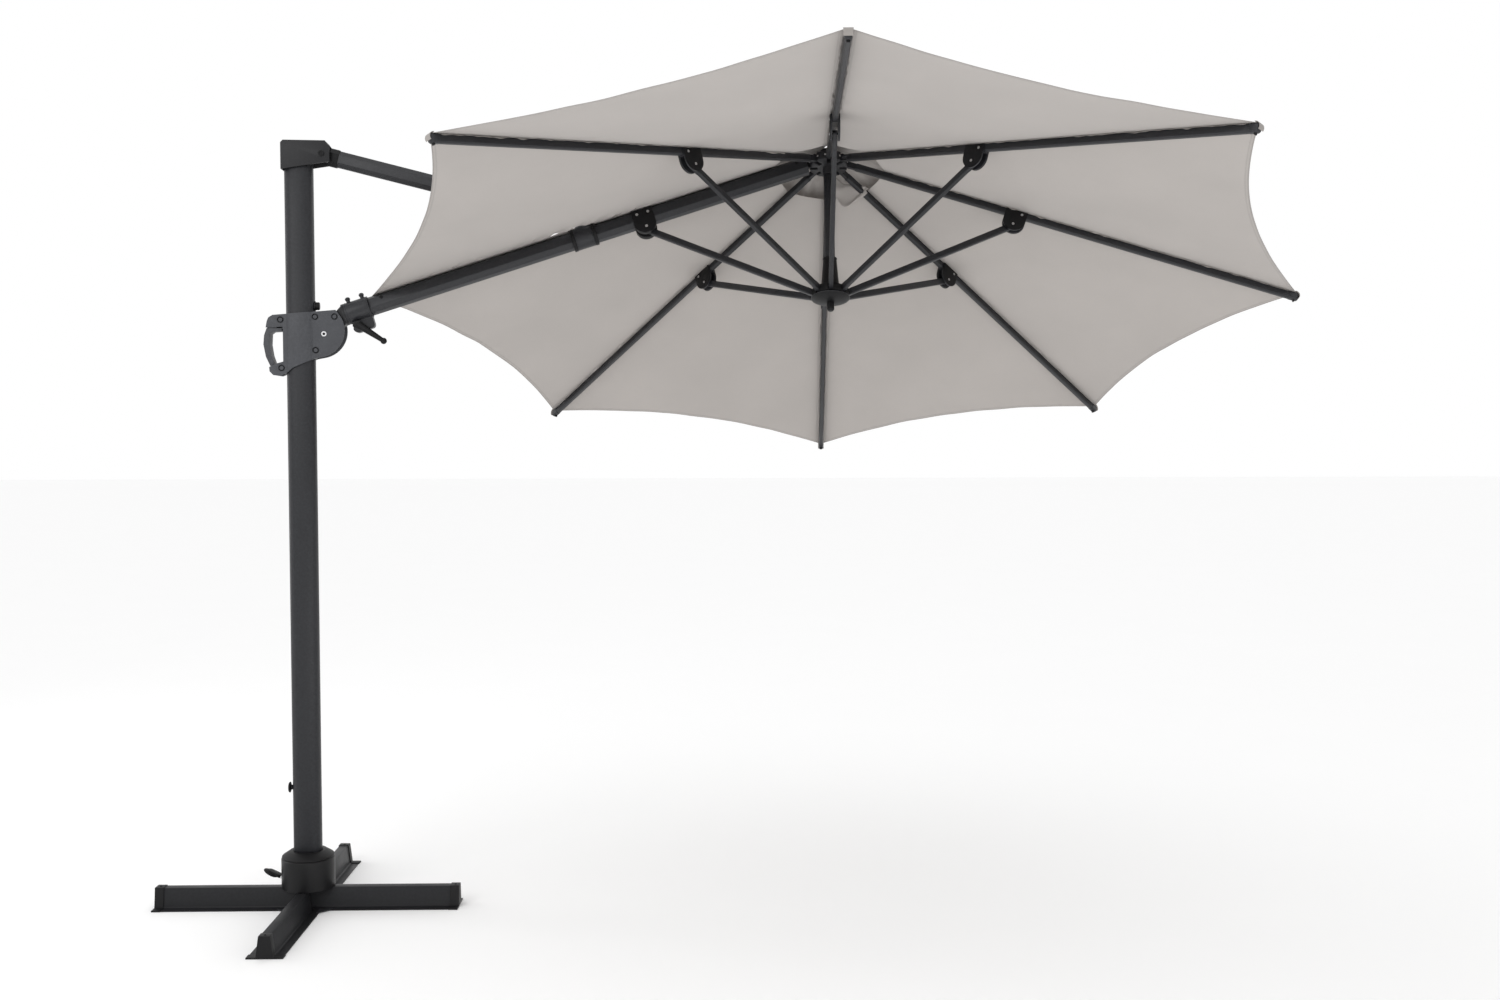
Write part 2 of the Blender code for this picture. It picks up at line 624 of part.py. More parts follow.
def build_strut(looks):
    head, collar = strut_ends()
    run = collar - head
    length = run.length
    slope = math.degrees(math.atan2(-run.z, run.x))
    strut = frame("strut_frame", Matrix.Translation(head) @ turn("Y", slope))
    section = tube_section(STRUT_WIDTH, STRUT_HEIGHT, TUBE_CHAMFER, TUBE_WALL)
    start, end = 0.035, length - 0.048
    half, plug = STRUT_TONGUE_HALF, 0.012
    head_outline = arc(0, 0, STRUT_EYE, 90, 270, 8)
    head_outline += [(start + 0.004, -STRUT_EYE), (start + 0.004, STRUT_EYE)]
    head_plate = prism("Y", [head_outline], -half, half)
    foot_plate = arc(length, 0, 0.016, -90, 90, 8) + [(end - 0.004, 0.016), (end - 0.004, -0.016)]
    filling = octagon(STRUT_WIDTH, STRUT_HEIGHT, TUBE_CHAMFER, -0.0008)
    joins = [head_plate, prism("X", [filling], start + 0.0005, start + plug)]
    joins += [prism("Y", [foot_plate], -half, half), prism("X", [filling], end - plug, end - 0.0005)]
    vent = rod("Z", 0.003, -STRUT_HEIGHT, 0, (length / 2, 0), 8)
    hole = rod("Y", COLLAR_PIN_RADIUS + GAP, -0.03, 0.03, (length, 0), 16)
    bar = carve(prism("X", section, start, end), joins, [vent, hole])
    smooth(add("upper_strut", bar, looks["frame"], strut), 25)


# ---- arm ----
def build_arm(looks, knuckle):
    """The arm and what turns with it about the arm's own axis."""
    metal, black = looks["frame"], looks["black"]
    arm = frame("arm_frame", move(0, 0, ARM_ABOVE_PIVOT) @ turn("X", CANOPY_ROLL), knuckle)
    end = HUB_ALONG - ARM_END_GAP
    section = tube_section(ARM_WIDTH, ARM_HEIGHT, TUBE_CHAMFER, TUBE_WALL)
    smooth(add("arm_tube", prism("X", section, ARM_START, end), metal, arm), 25)
    hole = octagon(ARM_WIDTH, ARM_HEIGHT, TUBE_CHAMFER, GAP)
    half = COLLAR_LENGTH / 2 + GAP
    for name, low in (("lower", COLLAR_ALONG - half - STOP_RING), ("upper", COLLAR_ALONG + half)):
        ring = prism("X", [circle(SLEEVE_RADIUS + 0.001), hole], low, low + STOP_RING)
        smooth(add(f"stop_ring_{name}", ring, black, arm), 30)
    return arm


def build_arm_tip(looks, spoke):
    """The casting in the arm's upper end, whose tongue carries the hub."""
    tube_end = ARM_END_GAP - HUB_PIN_RADIUS / math.cos(math.radians(rib_slope()))
    width, height = ARM_WIDTH - 2 * TUBE_WALL - 2 * GAP, ARM_HEIGHT - 2 * TUBE_WALL - 2 * GAP
    plug = octagon(width, height, TUBE_CHAMFER - 0.0015)
    tongue = arc(0, 0, 0.010, 90, 270, 8) + [(tube_end + 0.006, -0.010), (tube_end + 0.006, 0.010)]
    hole = rod("Y", PIN_HOLE, -0.02, 0.02, steps=12)
    tip = carve(
        prism("X", [plug], tube_end - 0.001, tube_end + 0.040),
        [prism("Y", [tongue], -RIB_TONGUE_HALF, RIB_TONGUE_HALF)],
        [hole],
    )
    smooth(add("arm_tip", tip, looks["black"], spoke), 30)
    top, bottom = ARM_HEIGHT / 2 - 0.007, 0.001 - ARM_HEIGHT / 2
    bracket_outline = [(-BRACKET_RADIUS, top), (-BRACKET_RADIUS, bottom)]
    bracket_outline += arc(0, bottom, BRACKET_RADIUS, 180, 360, 12)[1:] + [(BRACKET_RADIUS, top)]
    outline = [(x + BRACKET_ALONG, z) for x, z in bracket_outline]
    half = ARM_WIDTH / 2 + GAP + 0.003
    passage = octagon(ARM_WIDTH, ARM_HEIGHT, TUBE_CHAMFER, GAP)
    low, high = BRACKET_ALONG - 0.05, BRACKET_ALONG + 0.05
    slot = rectangle(low, high, -0.08, -ARM_HEIGHT / 2 - 0.0018)
    reach = BRACKET_SLOT + 0.003
    pin = rod("Y", PIN_RADIUS, -reach, reach, (BRACKET_ALONG, -BRACKET_DROP))
    solid = carve(
        prism("Y", [outline], -half, half),
        cuts=[prism("X", [passage], low, high), prism("Y", [slot], -BRACKET_SLOT, BRACKET_SLOT)],
    )
    smooth(add("arm_bracket", carve(solid, [pin]), looks["black"], spoke))


# ---- canopy frame ----
def rib_slope():
    return ARM_PITCH + CANOPY_TILT


def stay_triangle():
    """The length of the two equal sides, and the drop from the hub's pins to the runner's pins."""
    side = math.hypot(BRACKET_ALONG, BRACKET_DROP)
    angle = math.radians(90 - rib_slope()) - math.atan2(BRACKET_DROP, BRACKET_ALONG)
    return side, 2 * side * math.cos(angle), math.degrees(angle)


def hub_pin_height():
    return -HUB_PIN_RADIUS * math.tan(math.radians(rib_slope()))


def ring_of(mesh, angles):
    """One mesh of several copies turned about Z, for use as a tool."""
    whole = bmesh.new()
    for angle in angles:
        copy = placed(mesh.copy(), turn("Z", angle))
        whole.from_mesh(copy)
    made = bpy.data.meshes.new("ring")
    whole.to_mesh(made)
    whole.free()
    return made


def build_hub(looks, canopy):
    black, metal = looks["black"], looks["frame"]
    angles = [360 * k / SPOKES for k in range(SPOKES)]
    z = hub_pin_height()
    crown = [(0, 0.030), (0.024, 0.030), (0.032, 0.020), (0.034, 0.002), (LUG_RADIUS - 0.003, 0.000)]
    crown += [(LUG_RADIUS, -0.004), (LUG_RADIUS, z - 0.014), (LUG_RADIUS - 0.006, z - 0.018)]
    crown += [(0.0195, z - 0.018), (0.0195, -0.060), (0, -0.060)]
    half = RIB_TONGUE_HALF + RUN
    slot = prism("Y", [rectangle(LUG_SLOT_DEPTH, 0.10, -0.08, 0.03)], -half, half)
    pin = rod("Y", PIN_RADIUS, -half - 0.003, half + 0.003, (HUB_PIN_RADIUS, z), PIN_STEPS)
    hub = carve(turned(crown), cuts=[ring_of(slot, angles)])
    hub = carve(hub, [ring_of(pin, angles)])
    smooth(add("hub", hub, black, canopy))
    side, drop, _ = stay_triangle()
    level = z - drop
    pole = rod("Z", POLE_RADIUS, level + 0.020, -0.060 - GAP, steps=24)
    smooth(add("centre_pole", pole, metal, canopy))
    build_runner(looks, frame("runner_frame", move(0, 0, level), canopy), angles)


def build_runner(looks, runner, angles):
    black = looks["black"]
    bore = POLE_RADIUS + RUN
    body = [(0, 0.016), (bore, 0.016), (bore, NECK_HEIGHT), (NECK_RADIUS, NECK_HEIGHT), (0.030, 0.014)]
    body += [(LUG_RADIUS - 0.004, 0.012), (LUG_RADIUS - 0.002, -0.012), (0.030, -0.014)]
    body += [(DISH_RADIUS, -0.0145), (DISH_RADIUS, -0.018), (0.045, -0.026), (0.014, -0.031), (0, -0.031)]
    half = STAY_EYE_HALF + RUN
    slot = prism("Y", [rectangle(LUG_SLOT_DEPTH, 0.10, -0.0130, 0.04)], -half, half)
    pin = rod("Y", PIN_RADIUS, -half - 0.003, half + 0.003, (HUB_PIN_RADIUS, 0), PIN_STEPS)
    solid = carve(turned(body), cuts=[ring_of(slot, angles)])
    smooth(add("runner", carve(solid, [ring_of(pin, angles)]), black, runner))
    knob = [(0, -0.031 - GAP), (0.012, -0.031 - GAP), (0.012, -0.056), (0.008, -0.061), (0, -0.061)]
    smooth(add("runner_knob", turned(knob, 16), black, runner))


def rib_mesh():
    """A hollow tube with a flat tongue for the hub and a slotted bracket for the stay."""
    section = tube_section(RIB_WIDTH, RIB_HEIGHT, RIB_CHAMFER, RIB_WALL)
    tube = prism("X", section, RIB_TUBE_START, rib_length())
    plug = octagon(RIB_WIDTH, RIB_HEIGHT, RIB_CHAMFER, -0.0006)
    tongue = arc(0, 0, 0.010, 90, 270, 8)
    tongue += [(RIB_TUBE_START + 0.004, -0.010), (RIB_TUBE_START + 0.004, 0.010)]
    outline = [(-BRACKET_RADIUS, BRACKET_TOP), (-BRACKET_RADIUS, -0.028)]
    outline += arc(0, -0.028, BRACKET_RADIUS, 180, 360, 12)[1:] + [(BRACKET_RADIUS, BRACKET_TOP)]
    bracket = prism("Y", [[(x + BRACKET_ALONG, z) for x, z in outline]], -BRACKET_HALF, BRACKET_HALF)
    roof = -RIB_HEIGHT / 2 - 0.004
    low, high = BRACKET_ALONG - 0.05, BRACKET_ALONG + 0.05
    slot = prism("Y", [rectangle(low, high, -0.08, roof)], -BRACKET_SLOT, BRACKET_SLOT)
    hole = rod("Y", PIN_HOLE, -0.02, 0.02, steps=12)
    reach = BRACKET_SLOT + 0.003
    pin = rod("Y", PIN_RADIUS, -reach, reach, (BRACKET_ALONG, -BRACKET_DROP))
    joins = [
        prism("X", [plug], RIB_TUBE_START + 0.0005, RIB_TUBE_START + 0.010),
        prism("Y", [tongue], -RIB_TONGUE_HALF, RIB_TONGUE_HALF),
        bracket,
    ]
    return carve(carve(tube, joins, [slot, hole]), [pin])


def rib_length():
    return (CANOPY_RADIUS - HUB_PIN_RADIUS) / math.cos(math.radians(rib_slope()))


def stay_mesh():
    """A hollow tube with an eye in each end, along X from the bracket's pin to the runner's."""
    side, _, _ = stay_triangle()
    section = tube_section(STAY_WIDTH, STAY_HEIGHT, STAY_CHAMFER, STAY_WALL)
    tube = prism("X", section, STAY_TUBE_START, side - STAY_TUBE_START)
    outer = arc(0, 0, STAY_EYE_RADIUS, 90, 270, 8)
    reach = STAY_TUBE_START + 0.012
    eye = outer + [(reach, -STAY_EYE_RADIUS), (reach, STAY_EYE_RADIUS)]
    far_eye = [(side - x, z) for x, z in eye]
    joins = [prism("Y", [points], -STAY_EYE_HALF, STAY_EYE_HALF) for points in (eye, far_eye)]
    cuts = [rod("Y", PIN_HOLE, -0.02, 0.02, (x, 0), 12) for x in (0, side)]
    cuts.append(rod("Z", 0.002, -STAY_HEIGHT, 0, (side / 2, 0), 8))
    return carve(tube, joins, cuts)


def build_spokes(looks, canopy):
    """Every spoke's frame, with its rib and its stay. The arm takes the place of one rib."""
    _, _, angle = stay_triangle()
    rib, stay = rib_mesh(), stay_mesh()
    for k in range(SPOKES):
        spoke = frame(f"spoke_frame_{k}", turn("Z", 360 * k / SPOKES), canopy)
        place = move(HUB_PIN_RADIUS, 0, hub_pin_height()) @ turn("Y", rib_slope())
        pin = frame(f"rib_frame_{k}", place, spoke)
        if k == ARM_SPOKE:
            build_arm_tip(looks, pin)
        else:
            smooth(add(f"rib_{k}", rib.copy(), looks["frame"], pin), 25)
        back = turn("Y", 90 + angle - rib_slope())
        hinge = frame(f"stay_frame_{k}", move(BRACKET_ALONG, 0, -BRACKET_DROP) @ back, pin)
        smooth(add(f"stay_{k}", stay.copy(), looks["frame"], hinge), 25)


# ---- cover ----
def ridge_rise(k):
    """How far the cover's seam stands above a spoke's axis, along Z."""
    if k % SPOKES == ARM_SPOKE:
        step = (ARM_HEIGHT - RIB_HEIGHT) / 2
        rise = ARM_HEIGHT / 2 + FABRIC_OVER_ARM + CORNER_FALL * step
    else:
        rise = RIB_HEIGHT / 2 + FABRIC_OVER_RIB
    return rise / math.cos(math.radians(rib_slope()))


def ridge(k, radius):
    angle = 2 * math.pi * k / SPOKES
    height = ridge_rise(k) - radius * math.tan(math.radians(rib_slope()))
    return Vector((radius * math.cos(angle), radius * math.sin(angle), height))


def sector_mesh(k, across=4, out=2):
    """The cover from the middle of one panel, over spoke k, to the middle of the next."""
    shape = bmesh.new()
    rows = []
    for j in range(out + 1):
        row = []
        for i in range(-across, across + 1):
            share = max(-0.5 + SEAM_SHARE, min(0.5 - SEAM_SHARE, 0.5 * i / across))
            side = 1 if share >= 0 else -1
            t = abs(share)
            hem = CANOPY_RADIUS * (1 - SCALLOP * 4 * t * (1 - t))
            radius = VENT_RADIUS + (hem - VENT_RADIUS) * j / out
            row.append(shape.verts.new(ridge(k, radius).lerp(ridge(k + side, radius), t)))
        rows.append(row)
    for j in range(out):
        for i in range(2 * across):
            shape.faces.new((rows[j][i], rows[j + 1][i], rows[j + 1][i + 1], rows[j][i + 1]))
    mesh = bpy.data.meshes.new("sector")
    shape.to_mesh(mesh)
    shape.free()
    return mesh


def solidified(mesh, thickness):
    sheet = add("sheet", mesh)
    wall = sheet.modifiers.new("Solidify", "SOLIDIFY")
    wall.thickness = thickness
    wall.offset = 1.0
    made = baked_mesh(sheet, "sheet")
    bpy.data.objects.remove(sheet)
    return made


def build_cover(looks, canopy):
    """Eight sectors, each carried by its own rib, and a cap over the vent."""
    for k in range(SPOKES):
        mesh = solidified(sector_mesh(k), FABRIC)
        if k == ARM_SPOKE:
            length, width = COLLAR_SLOT
            along = (HUB_ALONG - COLLAR_ALONG) * math.cos(math.radians(rib_slope())) + 0.02
            x = -along
            slot = rectangle(x - length / 2, x + length / 2, -width / 2, width / 2)
            mesh = carve(mesh, cuts=[prism("Z", [slot], -0.9, 0.1)])
        add(f"cover_sector_{k}", mesh, looks["fabric"], canopy)
    depth = VENT_CAP_RADIUS * VENT_CAP_SLOPE
    shape = bmesh.new()
    bmesh.ops.create_cone(shape, segments=SPOKES, radius1=VENT_CAP_RADIUS, radius2=0.0, depth=depth)
    bmesh.ops.remove_doubles(shape, verts=shape.verts, dist=0.0001)
    mesh = bpy.data.meshes.new("vent_cap")
    shape.to_mesh(mesh)
    shape.free()
    mesh = placed(solidified(mesh, FABRIC), move(0, 0, VENT_CAP_TOP - depth / 2))
    add("vent_cap", mesh, looks["fabric"], canopy)


def build():
    for old in list(bpy.data.objects):
        bpy.data.objects.remove(old, do_unlink=True)
    bpy.context.scene.collection.children.link(MODEL)
    looks = {
        "frame": material("anthracite_coat", (0.045, 0.046, 0.050), 0.45, 0.3),
        "black": material("black_plastic", (0.016, 0.016, 0.018), 0.50),
        "cheek": material("grey_plastic", (0.040, 0.041, 0.045), 0.50),
        "housing": material("black_coat", (0.018, 0.018, 0.020), 0.50, 0.2),
        "bolt": material("steel", (0.60, 0.60, 0.62), 0.35, 1.0),
        "fabric": material("taupe_canvas", (0.53, 0.48, 0.43), 0.90),
    }
    build_base(looks)
    build_mast(looks)
    hole = build_carriage(looks)
    knuckle = build_knuckle(looks, hole)
    build_strut(looks)
    arm = build_arm(looks, knuckle)
    canopy = frame("canopy_frame", move(HUB_ALONG, 0, 0) @ turn("Y", rib_slope()), arm)
    build_hub(looks, canopy)
    build_spokes(looks, canopy)
    build_cover(looks, canopy)


build()
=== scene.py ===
"""Cantilever parasol: rounded metalwork, canvas cover and fittings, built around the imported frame.

Metres, +Z up. Every piece takes its place from the frame's own joints and nodes.
"""

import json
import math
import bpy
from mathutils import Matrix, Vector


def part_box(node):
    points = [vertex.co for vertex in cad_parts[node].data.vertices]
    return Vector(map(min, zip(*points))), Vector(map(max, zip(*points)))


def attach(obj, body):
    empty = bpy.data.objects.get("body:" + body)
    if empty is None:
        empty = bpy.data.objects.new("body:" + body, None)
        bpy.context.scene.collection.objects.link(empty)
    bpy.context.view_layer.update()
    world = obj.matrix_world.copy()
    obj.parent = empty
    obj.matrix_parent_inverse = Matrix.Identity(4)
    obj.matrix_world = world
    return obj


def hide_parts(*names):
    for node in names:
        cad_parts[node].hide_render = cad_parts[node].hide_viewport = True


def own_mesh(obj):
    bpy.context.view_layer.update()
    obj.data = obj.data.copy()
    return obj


bl_info = {
    "name": "Cantilever Parasol",
    "version": (1, 0, 0),
    "blender": (4, 5, 0),
    "location": "View3D > Sidebar > Parasol",
    "description": "Metalwork, canvas cover and fittings of a cantilever parasol",
    "category": "Add Mesh",
}

import bmesh
import bpy
from bpy.props import FloatProperty, FloatVectorProperty
from mathutils import Matrix, Vector, noise

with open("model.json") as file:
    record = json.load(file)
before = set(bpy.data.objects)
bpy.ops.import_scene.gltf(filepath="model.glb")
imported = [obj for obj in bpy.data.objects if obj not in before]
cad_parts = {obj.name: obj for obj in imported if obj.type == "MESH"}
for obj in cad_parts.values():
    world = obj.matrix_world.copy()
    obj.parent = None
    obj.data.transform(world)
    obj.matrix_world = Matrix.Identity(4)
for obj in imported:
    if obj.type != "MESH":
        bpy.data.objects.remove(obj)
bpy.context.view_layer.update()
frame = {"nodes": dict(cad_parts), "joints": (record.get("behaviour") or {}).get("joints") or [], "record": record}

# ---- what the frame says ----
JOINTS = {joint["name"]: joint for joint in frame["joints"]}
BODY = {node: body for body, nodes in frame["record"]["behaviour"]["bodies"].items() for node in nodes}
SLOT = {part["node"]: part["material_slot"] for part in frame["record"]["subparts"]}
SPOKES = 8
ARM_SPOKE = 4  # the arm lies where the fifth rib would be
FRONT_REAR = ((-1, "front"), (1, "rear"))
HEAD_PIVOT_HEIGHT = 2.471  # the upper strut's fixed pin, from the floor
ARM_AXIS_RISE = 0.041  # the arm's axis above the knuckle's pitch axis
CHEEK_FACE = 0.030  # the carriage's outer faces, from its middle
BRACKET_FACE = 0.0284  # the arm bracket's outer faces, from the arm's axis
HEAD_FACE = 0.0452  # the mast head's outer faces, from its middle
LUG_FACE = 0.064  # the hub lugs' ends, from the pole


def place_of(joint):
    return Vector(JOINTS[joint]["pos_m"])


def axis_of(joint):
    return Vector(JOINTS[joint]["axis"]).normalized()


def axes(origin, x, y):
    """A place from its origin and its first two axes."""
    z = x.cross(y)
    return Matrix((
        (x.x, y.x, z.x, origin.x),
        (x.y, y.y, z.y, origin.y),
        (x.z, y.z, z.z, origin.z),
        (0, 0, 0, 1),
    ))


def turn(axis, degrees):
    return Matrix.Rotation(math.radians(degrees), 4, axis)


def move(x, y, z):
    return Matrix.Translation((x, y, z))


def facing(place, x, y, z, sign):
    """A place on the front (-1) or rear (1) face of a part, with Z pointing out of the face."""
    return place @ move(x, sign * y, z) @ turn("X", -90 * sign)


def rib_body(k):
    return "arm" if k == ARM_SPOKE else f"rib_{k}"


UP = axis_of("rib_0_hinge").cross(axis_of("rib_2_hinge")).normalized()
PIN_CENTRE = (place_of("rib_2_hinge") + place_of("rib_6_hinge")) / 2
PIN_RADIUS = (place_of("rib_2_hinge") - PIN_CENTRE).length
ARM = axis_of("canopy_roll")
SLOPE = math.asin(ARM.dot(UP))
FIRST_OUT = axis_of("rib_0_hinge").cross(UP)
OUT = [Matrix.Rotation(math.tau * k / SPOKES, 3, UP) @ FIRST_OUT for k in range(SPOKES)]
ALONG = [OUT[k].cross(UP) * -1 for k in range(SPOKES)]
APEX = PIN_CENTRE + UP * PIN_RADIUS * math.tan(SLOPE)
CANOPY = axes(APEX, OUT[0], ALONG[0])
RIB = [
    axes(APEX + OUT[k] * PIN_RADIUS - UP * PIN_RADIUS * math.tan(SLOPE),
         OUT[k] * math.cos(SLOPE) - UP * math.sin(SLOPE), ALONG[k])
    for k in range(SPOKES)
]
RIB_REACH = max((v.co - APEX).dot(OUT[0]) for v in frame["nodes"]["rib_0"].data.vertices)
BRACKET = RIB[0].inverted() @ place_of("stay_0_hinge")
KNUCKLE = axes(place_of("arm_pitch"), ARM, Vector((0, 1, 0)))
ARM_PLACE = axes(place_of("canopy_roll"), ARM, axis_of("canopy_fold"))
CARRIAGE = move(*place_of("arm_pitch"))
LEVEL = axis_of("pedal_press") * -1
CROSS = axes(Vector((0, 0, 0)), LEVEL.cross(Vector((0, 0, 1))), LEVEL)
STRUT_END = place_of("strut_swing")
HEAD_PIVOT = Vector((place_of("arm_pitch").x, 0, HEAD_PIVOT_HEIGHT))
STRUT = axes(HEAD_PIVOT, (STRUT_END - HEAD_PIVOT).normalized(), Vector((0, 1, 0)))
RUNNER = axes(place_of("runner_hinge") - OUT[0] * PIN_RADIUS, OUT[0], ALONG[0])


# ---- sizes and colours that a user would change ----
class ParasolSizes(bpy.types.PropertyGroup):
    vent_radius: FloatProperty(name="Vent radius", description="From the pole to the cover's inner edge",
                               default=0.19, unit="LENGTH")
    cap_radius: FloatProperty(name="Cap radius", description="From the pole to the vent cap's corners",
                              default=0.30, unit="LENGTH")
    scallop: FloatProperty(name="Scallop", default=0.053, subtype="FACTOR",
                           description="How deep each panel's hem is cut, as a share of the radius")
    sag: FloatProperty(name="Sag", description="How far a panel's middle hangs below a straight line",
                       default=0.010, unit="LENGTH")
    hem: FloatProperty(name="Hem", description="From the cover's edge to the hem's inner seam",
                       default=0.011, unit="LENGTH")
    flap_length: FloatProperty(name="Vent flap", description="How far the loose flap under the vent hangs",
                               default=0.082, unit="LENGTH")
    pleat: FloatProperty(name="Cap pleats", description="Depth of the gathers in the vent cap",
                         default=0.013, unit="LENGTH")
    fabric: FloatProperty(name="Fabric", description="Thickness of the canvas", default=0.001, unit="LENGTH")
    rib_rise: FloatProperty(name="Rise over a rib", description="From a rib's axis to the cover",
                            default=0.0135, unit="LENGTH")
    arm_rise: FloatProperty(name="Rise over the arm", description="From the arm's axis to the cover",
                            default=0.0325, unit="LENGTH")


class ParasolColours(bpy.types.PropertyGroup):
    metal: FloatVectorProperty(name="Metal coat", description="Powder coat of the tubes", subtype="COLOR",
                               default=(0.0155, 0.016, 0.0185))
    casting: FloatVectorProperty(name="Castings", description="Black coat of the head, hub and knuckle",
                                 subtype="COLOR", default=(0.013, 0.013, 0.0145))
    cheek: FloatVectorProperty(name="Carriage", description="Moulded shells of the carriage", subtype="COLOR",
                               default=(0.052, 0.054, 0.060))
    black: FloatVectorProperty(name="Black plastic", description="Caps, knobs and brackets", subtype="COLOR",
                               default=(0.006, 0.006, 0.0066))
    canvas: FloatVectorProperty(name="Canvas", description="Woven cover", subtype="COLOR",
                                default=(0.430, 0.402, 0.381))
    steel: FloatVectorProperty(name="Steel", description="Rivets and bolts", subtype="COLOR",
                               default=(0.62, 0.62, 0.63))


# ---- materials ----
def node(tree, kind, **values):
    made = tree.nodes.new(kind)
    for key, value in values.items():
        if hasattr(made, key):
            setattr(made, key, value)
        else:
            made.inputs[key.replace("_", " ").title()].default_value = value
    return made


def wire(tree, source, target):
    tree.links.new(source, target)


def group(name, inputs, outputs):
    """An empty node group with its named sockets."""
    tree = bpy.data.node_groups.new(name, "ShaderNodeTree")
    for label, kind, value in inputs:
        socket = tree.interface.new_socket(label, in_out="INPUT", socket_type=kind)
        if value is not None:
            socket.default_value = value
    for label, kind in outputs:
        tree.interface.new_socket(label, in_out="OUTPUT", socket_type=kind)
    return tree, node(tree, "NodeGroupInput"), node(tree, "NodeGroupOutput")


def maths(tree, operation, first, second=None):
    made = node(tree, "ShaderNodeMath", operation=operation)
    for socket, value in zip(made.inputs, (first, second)):
        if value is None:
            continue
        if isinstance(value, (int, float)):
            socket.default_value = value
        else:
            wire(tree, value, socket)
    return made.outputs[0]


def ranged(tree, value, low, high, to_low=0.0, to_high=1.0):
    made = node(tree, "ShaderNodeMapRange")
    made.inputs["From Min"].default_value = low
    made.inputs["From Max"].default_value = high
    made.inputs["To Min"].default_value = to_low
    made.inputs["To Max"].default_value = to_high
    wire(tree, value, made.inputs["Value"])
    return made.outputs["Result"]


def noisy(tree, vector, **values):
    """A noise texture on a vector."""
    made = node(tree, "ShaderNodeTexNoise", **values)
    wire(tree, vector, made.inputs["Vector"])
    return made.outputs["Fac"]


def product(tree, first, second):
    return maths(tree, "MULTIPLY", first, second)


def stretched(tree, vector, scale):
    made = node(tree, "ShaderNodeMapping")
    made.inputs["Scale"].default_value = scale
    wire(tree, vector, made.inputs["Vector"])
    return made.outputs["Vector"]


def grain_group():
    """Powder coat or spark-eroded plastic: a fine grain and a soft mottle."""
    tree, given, gives = group(
        "surface_grain",
        [("Vector", "NodeSocketVector", None), ("Scale", "NodeSocketFloat", 900.0)],
        [("Height", "NodeSocketFloat"), ("Mottle", "NodeSocketFloat")],
    )
    fine = noisy(tree, given.outputs["Vector"], Detail=3.0, Roughness=0.6)
    broad = noisy(tree, given.outputs["Vector"], Scale=9.0, Detail=4.0, Roughness=0.55)
    wire(tree, given.outputs["Scale"], fine.node.inputs["Scale"])
    wire(tree, fine, gives.inputs["Height"])
    wire(tree, ranged(tree, broad, 0.3, 0.7), gives.inputs["Mottle"])
    return tree


def wear_group():
    """Rubbed outer edges, broken up by a noise."""
    tree, given, gives = group(
        "edge_wear",
        [("Vector", "NodeSocketVector", None), ("Amount", "NodeSocketFloat", 0.5)],
        [("Mask", "NodeSocketFloat")],
    )
    geometry = node(tree, "ShaderNodeNewGeometry")
    edge = ranged(tree, geometry.outputs["Pointiness"], 0.505, 0.56)
    patch = noisy(tree, given.outputs["Vector"], Scale=120.0, Detail=5.0, Roughness=0.7)
    broken = product(tree, edge, ranged(tree, patch, 0.40, 0.70))
    wire(tree, product(tree, broken, given.outputs["Amount"]), gives.inputs["Mask"])
    return tree


def dust_group():
    """Fine dust on what faces up, in noisy patches."""
    tree, given, gives = group(
        "settled_dust",
        [("Vector", "NodeSocketVector", None), ("Amount", "NodeSocketFloat", 0.3)],
        [("Mask", "NodeSocketFloat")],
    )
    geometry = node(tree, "ShaderNodeNewGeometry")
    split = node(tree, "ShaderNodeSeparateXYZ")
    wire(tree, geometry.outputs["Normal"], split.inputs[0])
    upward = ranged(tree, split.outputs["Z"], 0.35, 1.0)
    cloud = noisy(tree, given.outputs["Vector"], Scale=14.0, Detail=6.0, Roughness=0.65)
    patchy = product(tree, upward, ranged(tree, cloud, 0.35, 0.75))
    wire(tree, product(tree, patchy, given.outputs["Amount"]), gives.inputs["Mask"])
    return tree


def weave_group():
    """Plain weave: warp and weft bands over and under each other, with uneven yarns."""
    tree, given, gives = group(
        "plain_weave",
        [("Cloth", "NodeSocketVector", None), ("Threads", "NodeSocketFloat", 900.0)],
        [("Height", "NodeSocketFloat"), ("Yarn", "NodeSocketFloat")],
    )
    split = node(tree, "ShaderNodeSeparateXYZ")
    wire(tree, given.outputs["Cloth"], split.inputs[0])
    bands = []
    for way in "XY":
        counted = product(tree, split.outputs[way], given.outputs["Threads"])
        bands.append(maths(tree, "SINE", product(tree, counted, math.pi)))
    wire(tree, maths(tree, "ABSOLUTE", product(tree, *bands)), gives.inputs["Height"])
    yarn = noisy(tree, stretched(tree, given.outputs["Cloth"], (12.0, 1.0, 1.0)),
                 Scale=60.0, Detail=4.0, Roughness=0.7)
    wire(tree, ranged(tree, yarn, 0.3, 0.7), gives.inputs["Yarn"])
    return tree


STITCHES_PER_METRE = 260.0
STITCH_SHARE = 0.72  # of a stitch's pitch
# the width of each seam's groove, which is bumped and darkened with painted shade
GROOVE_WIDTH = 0.004


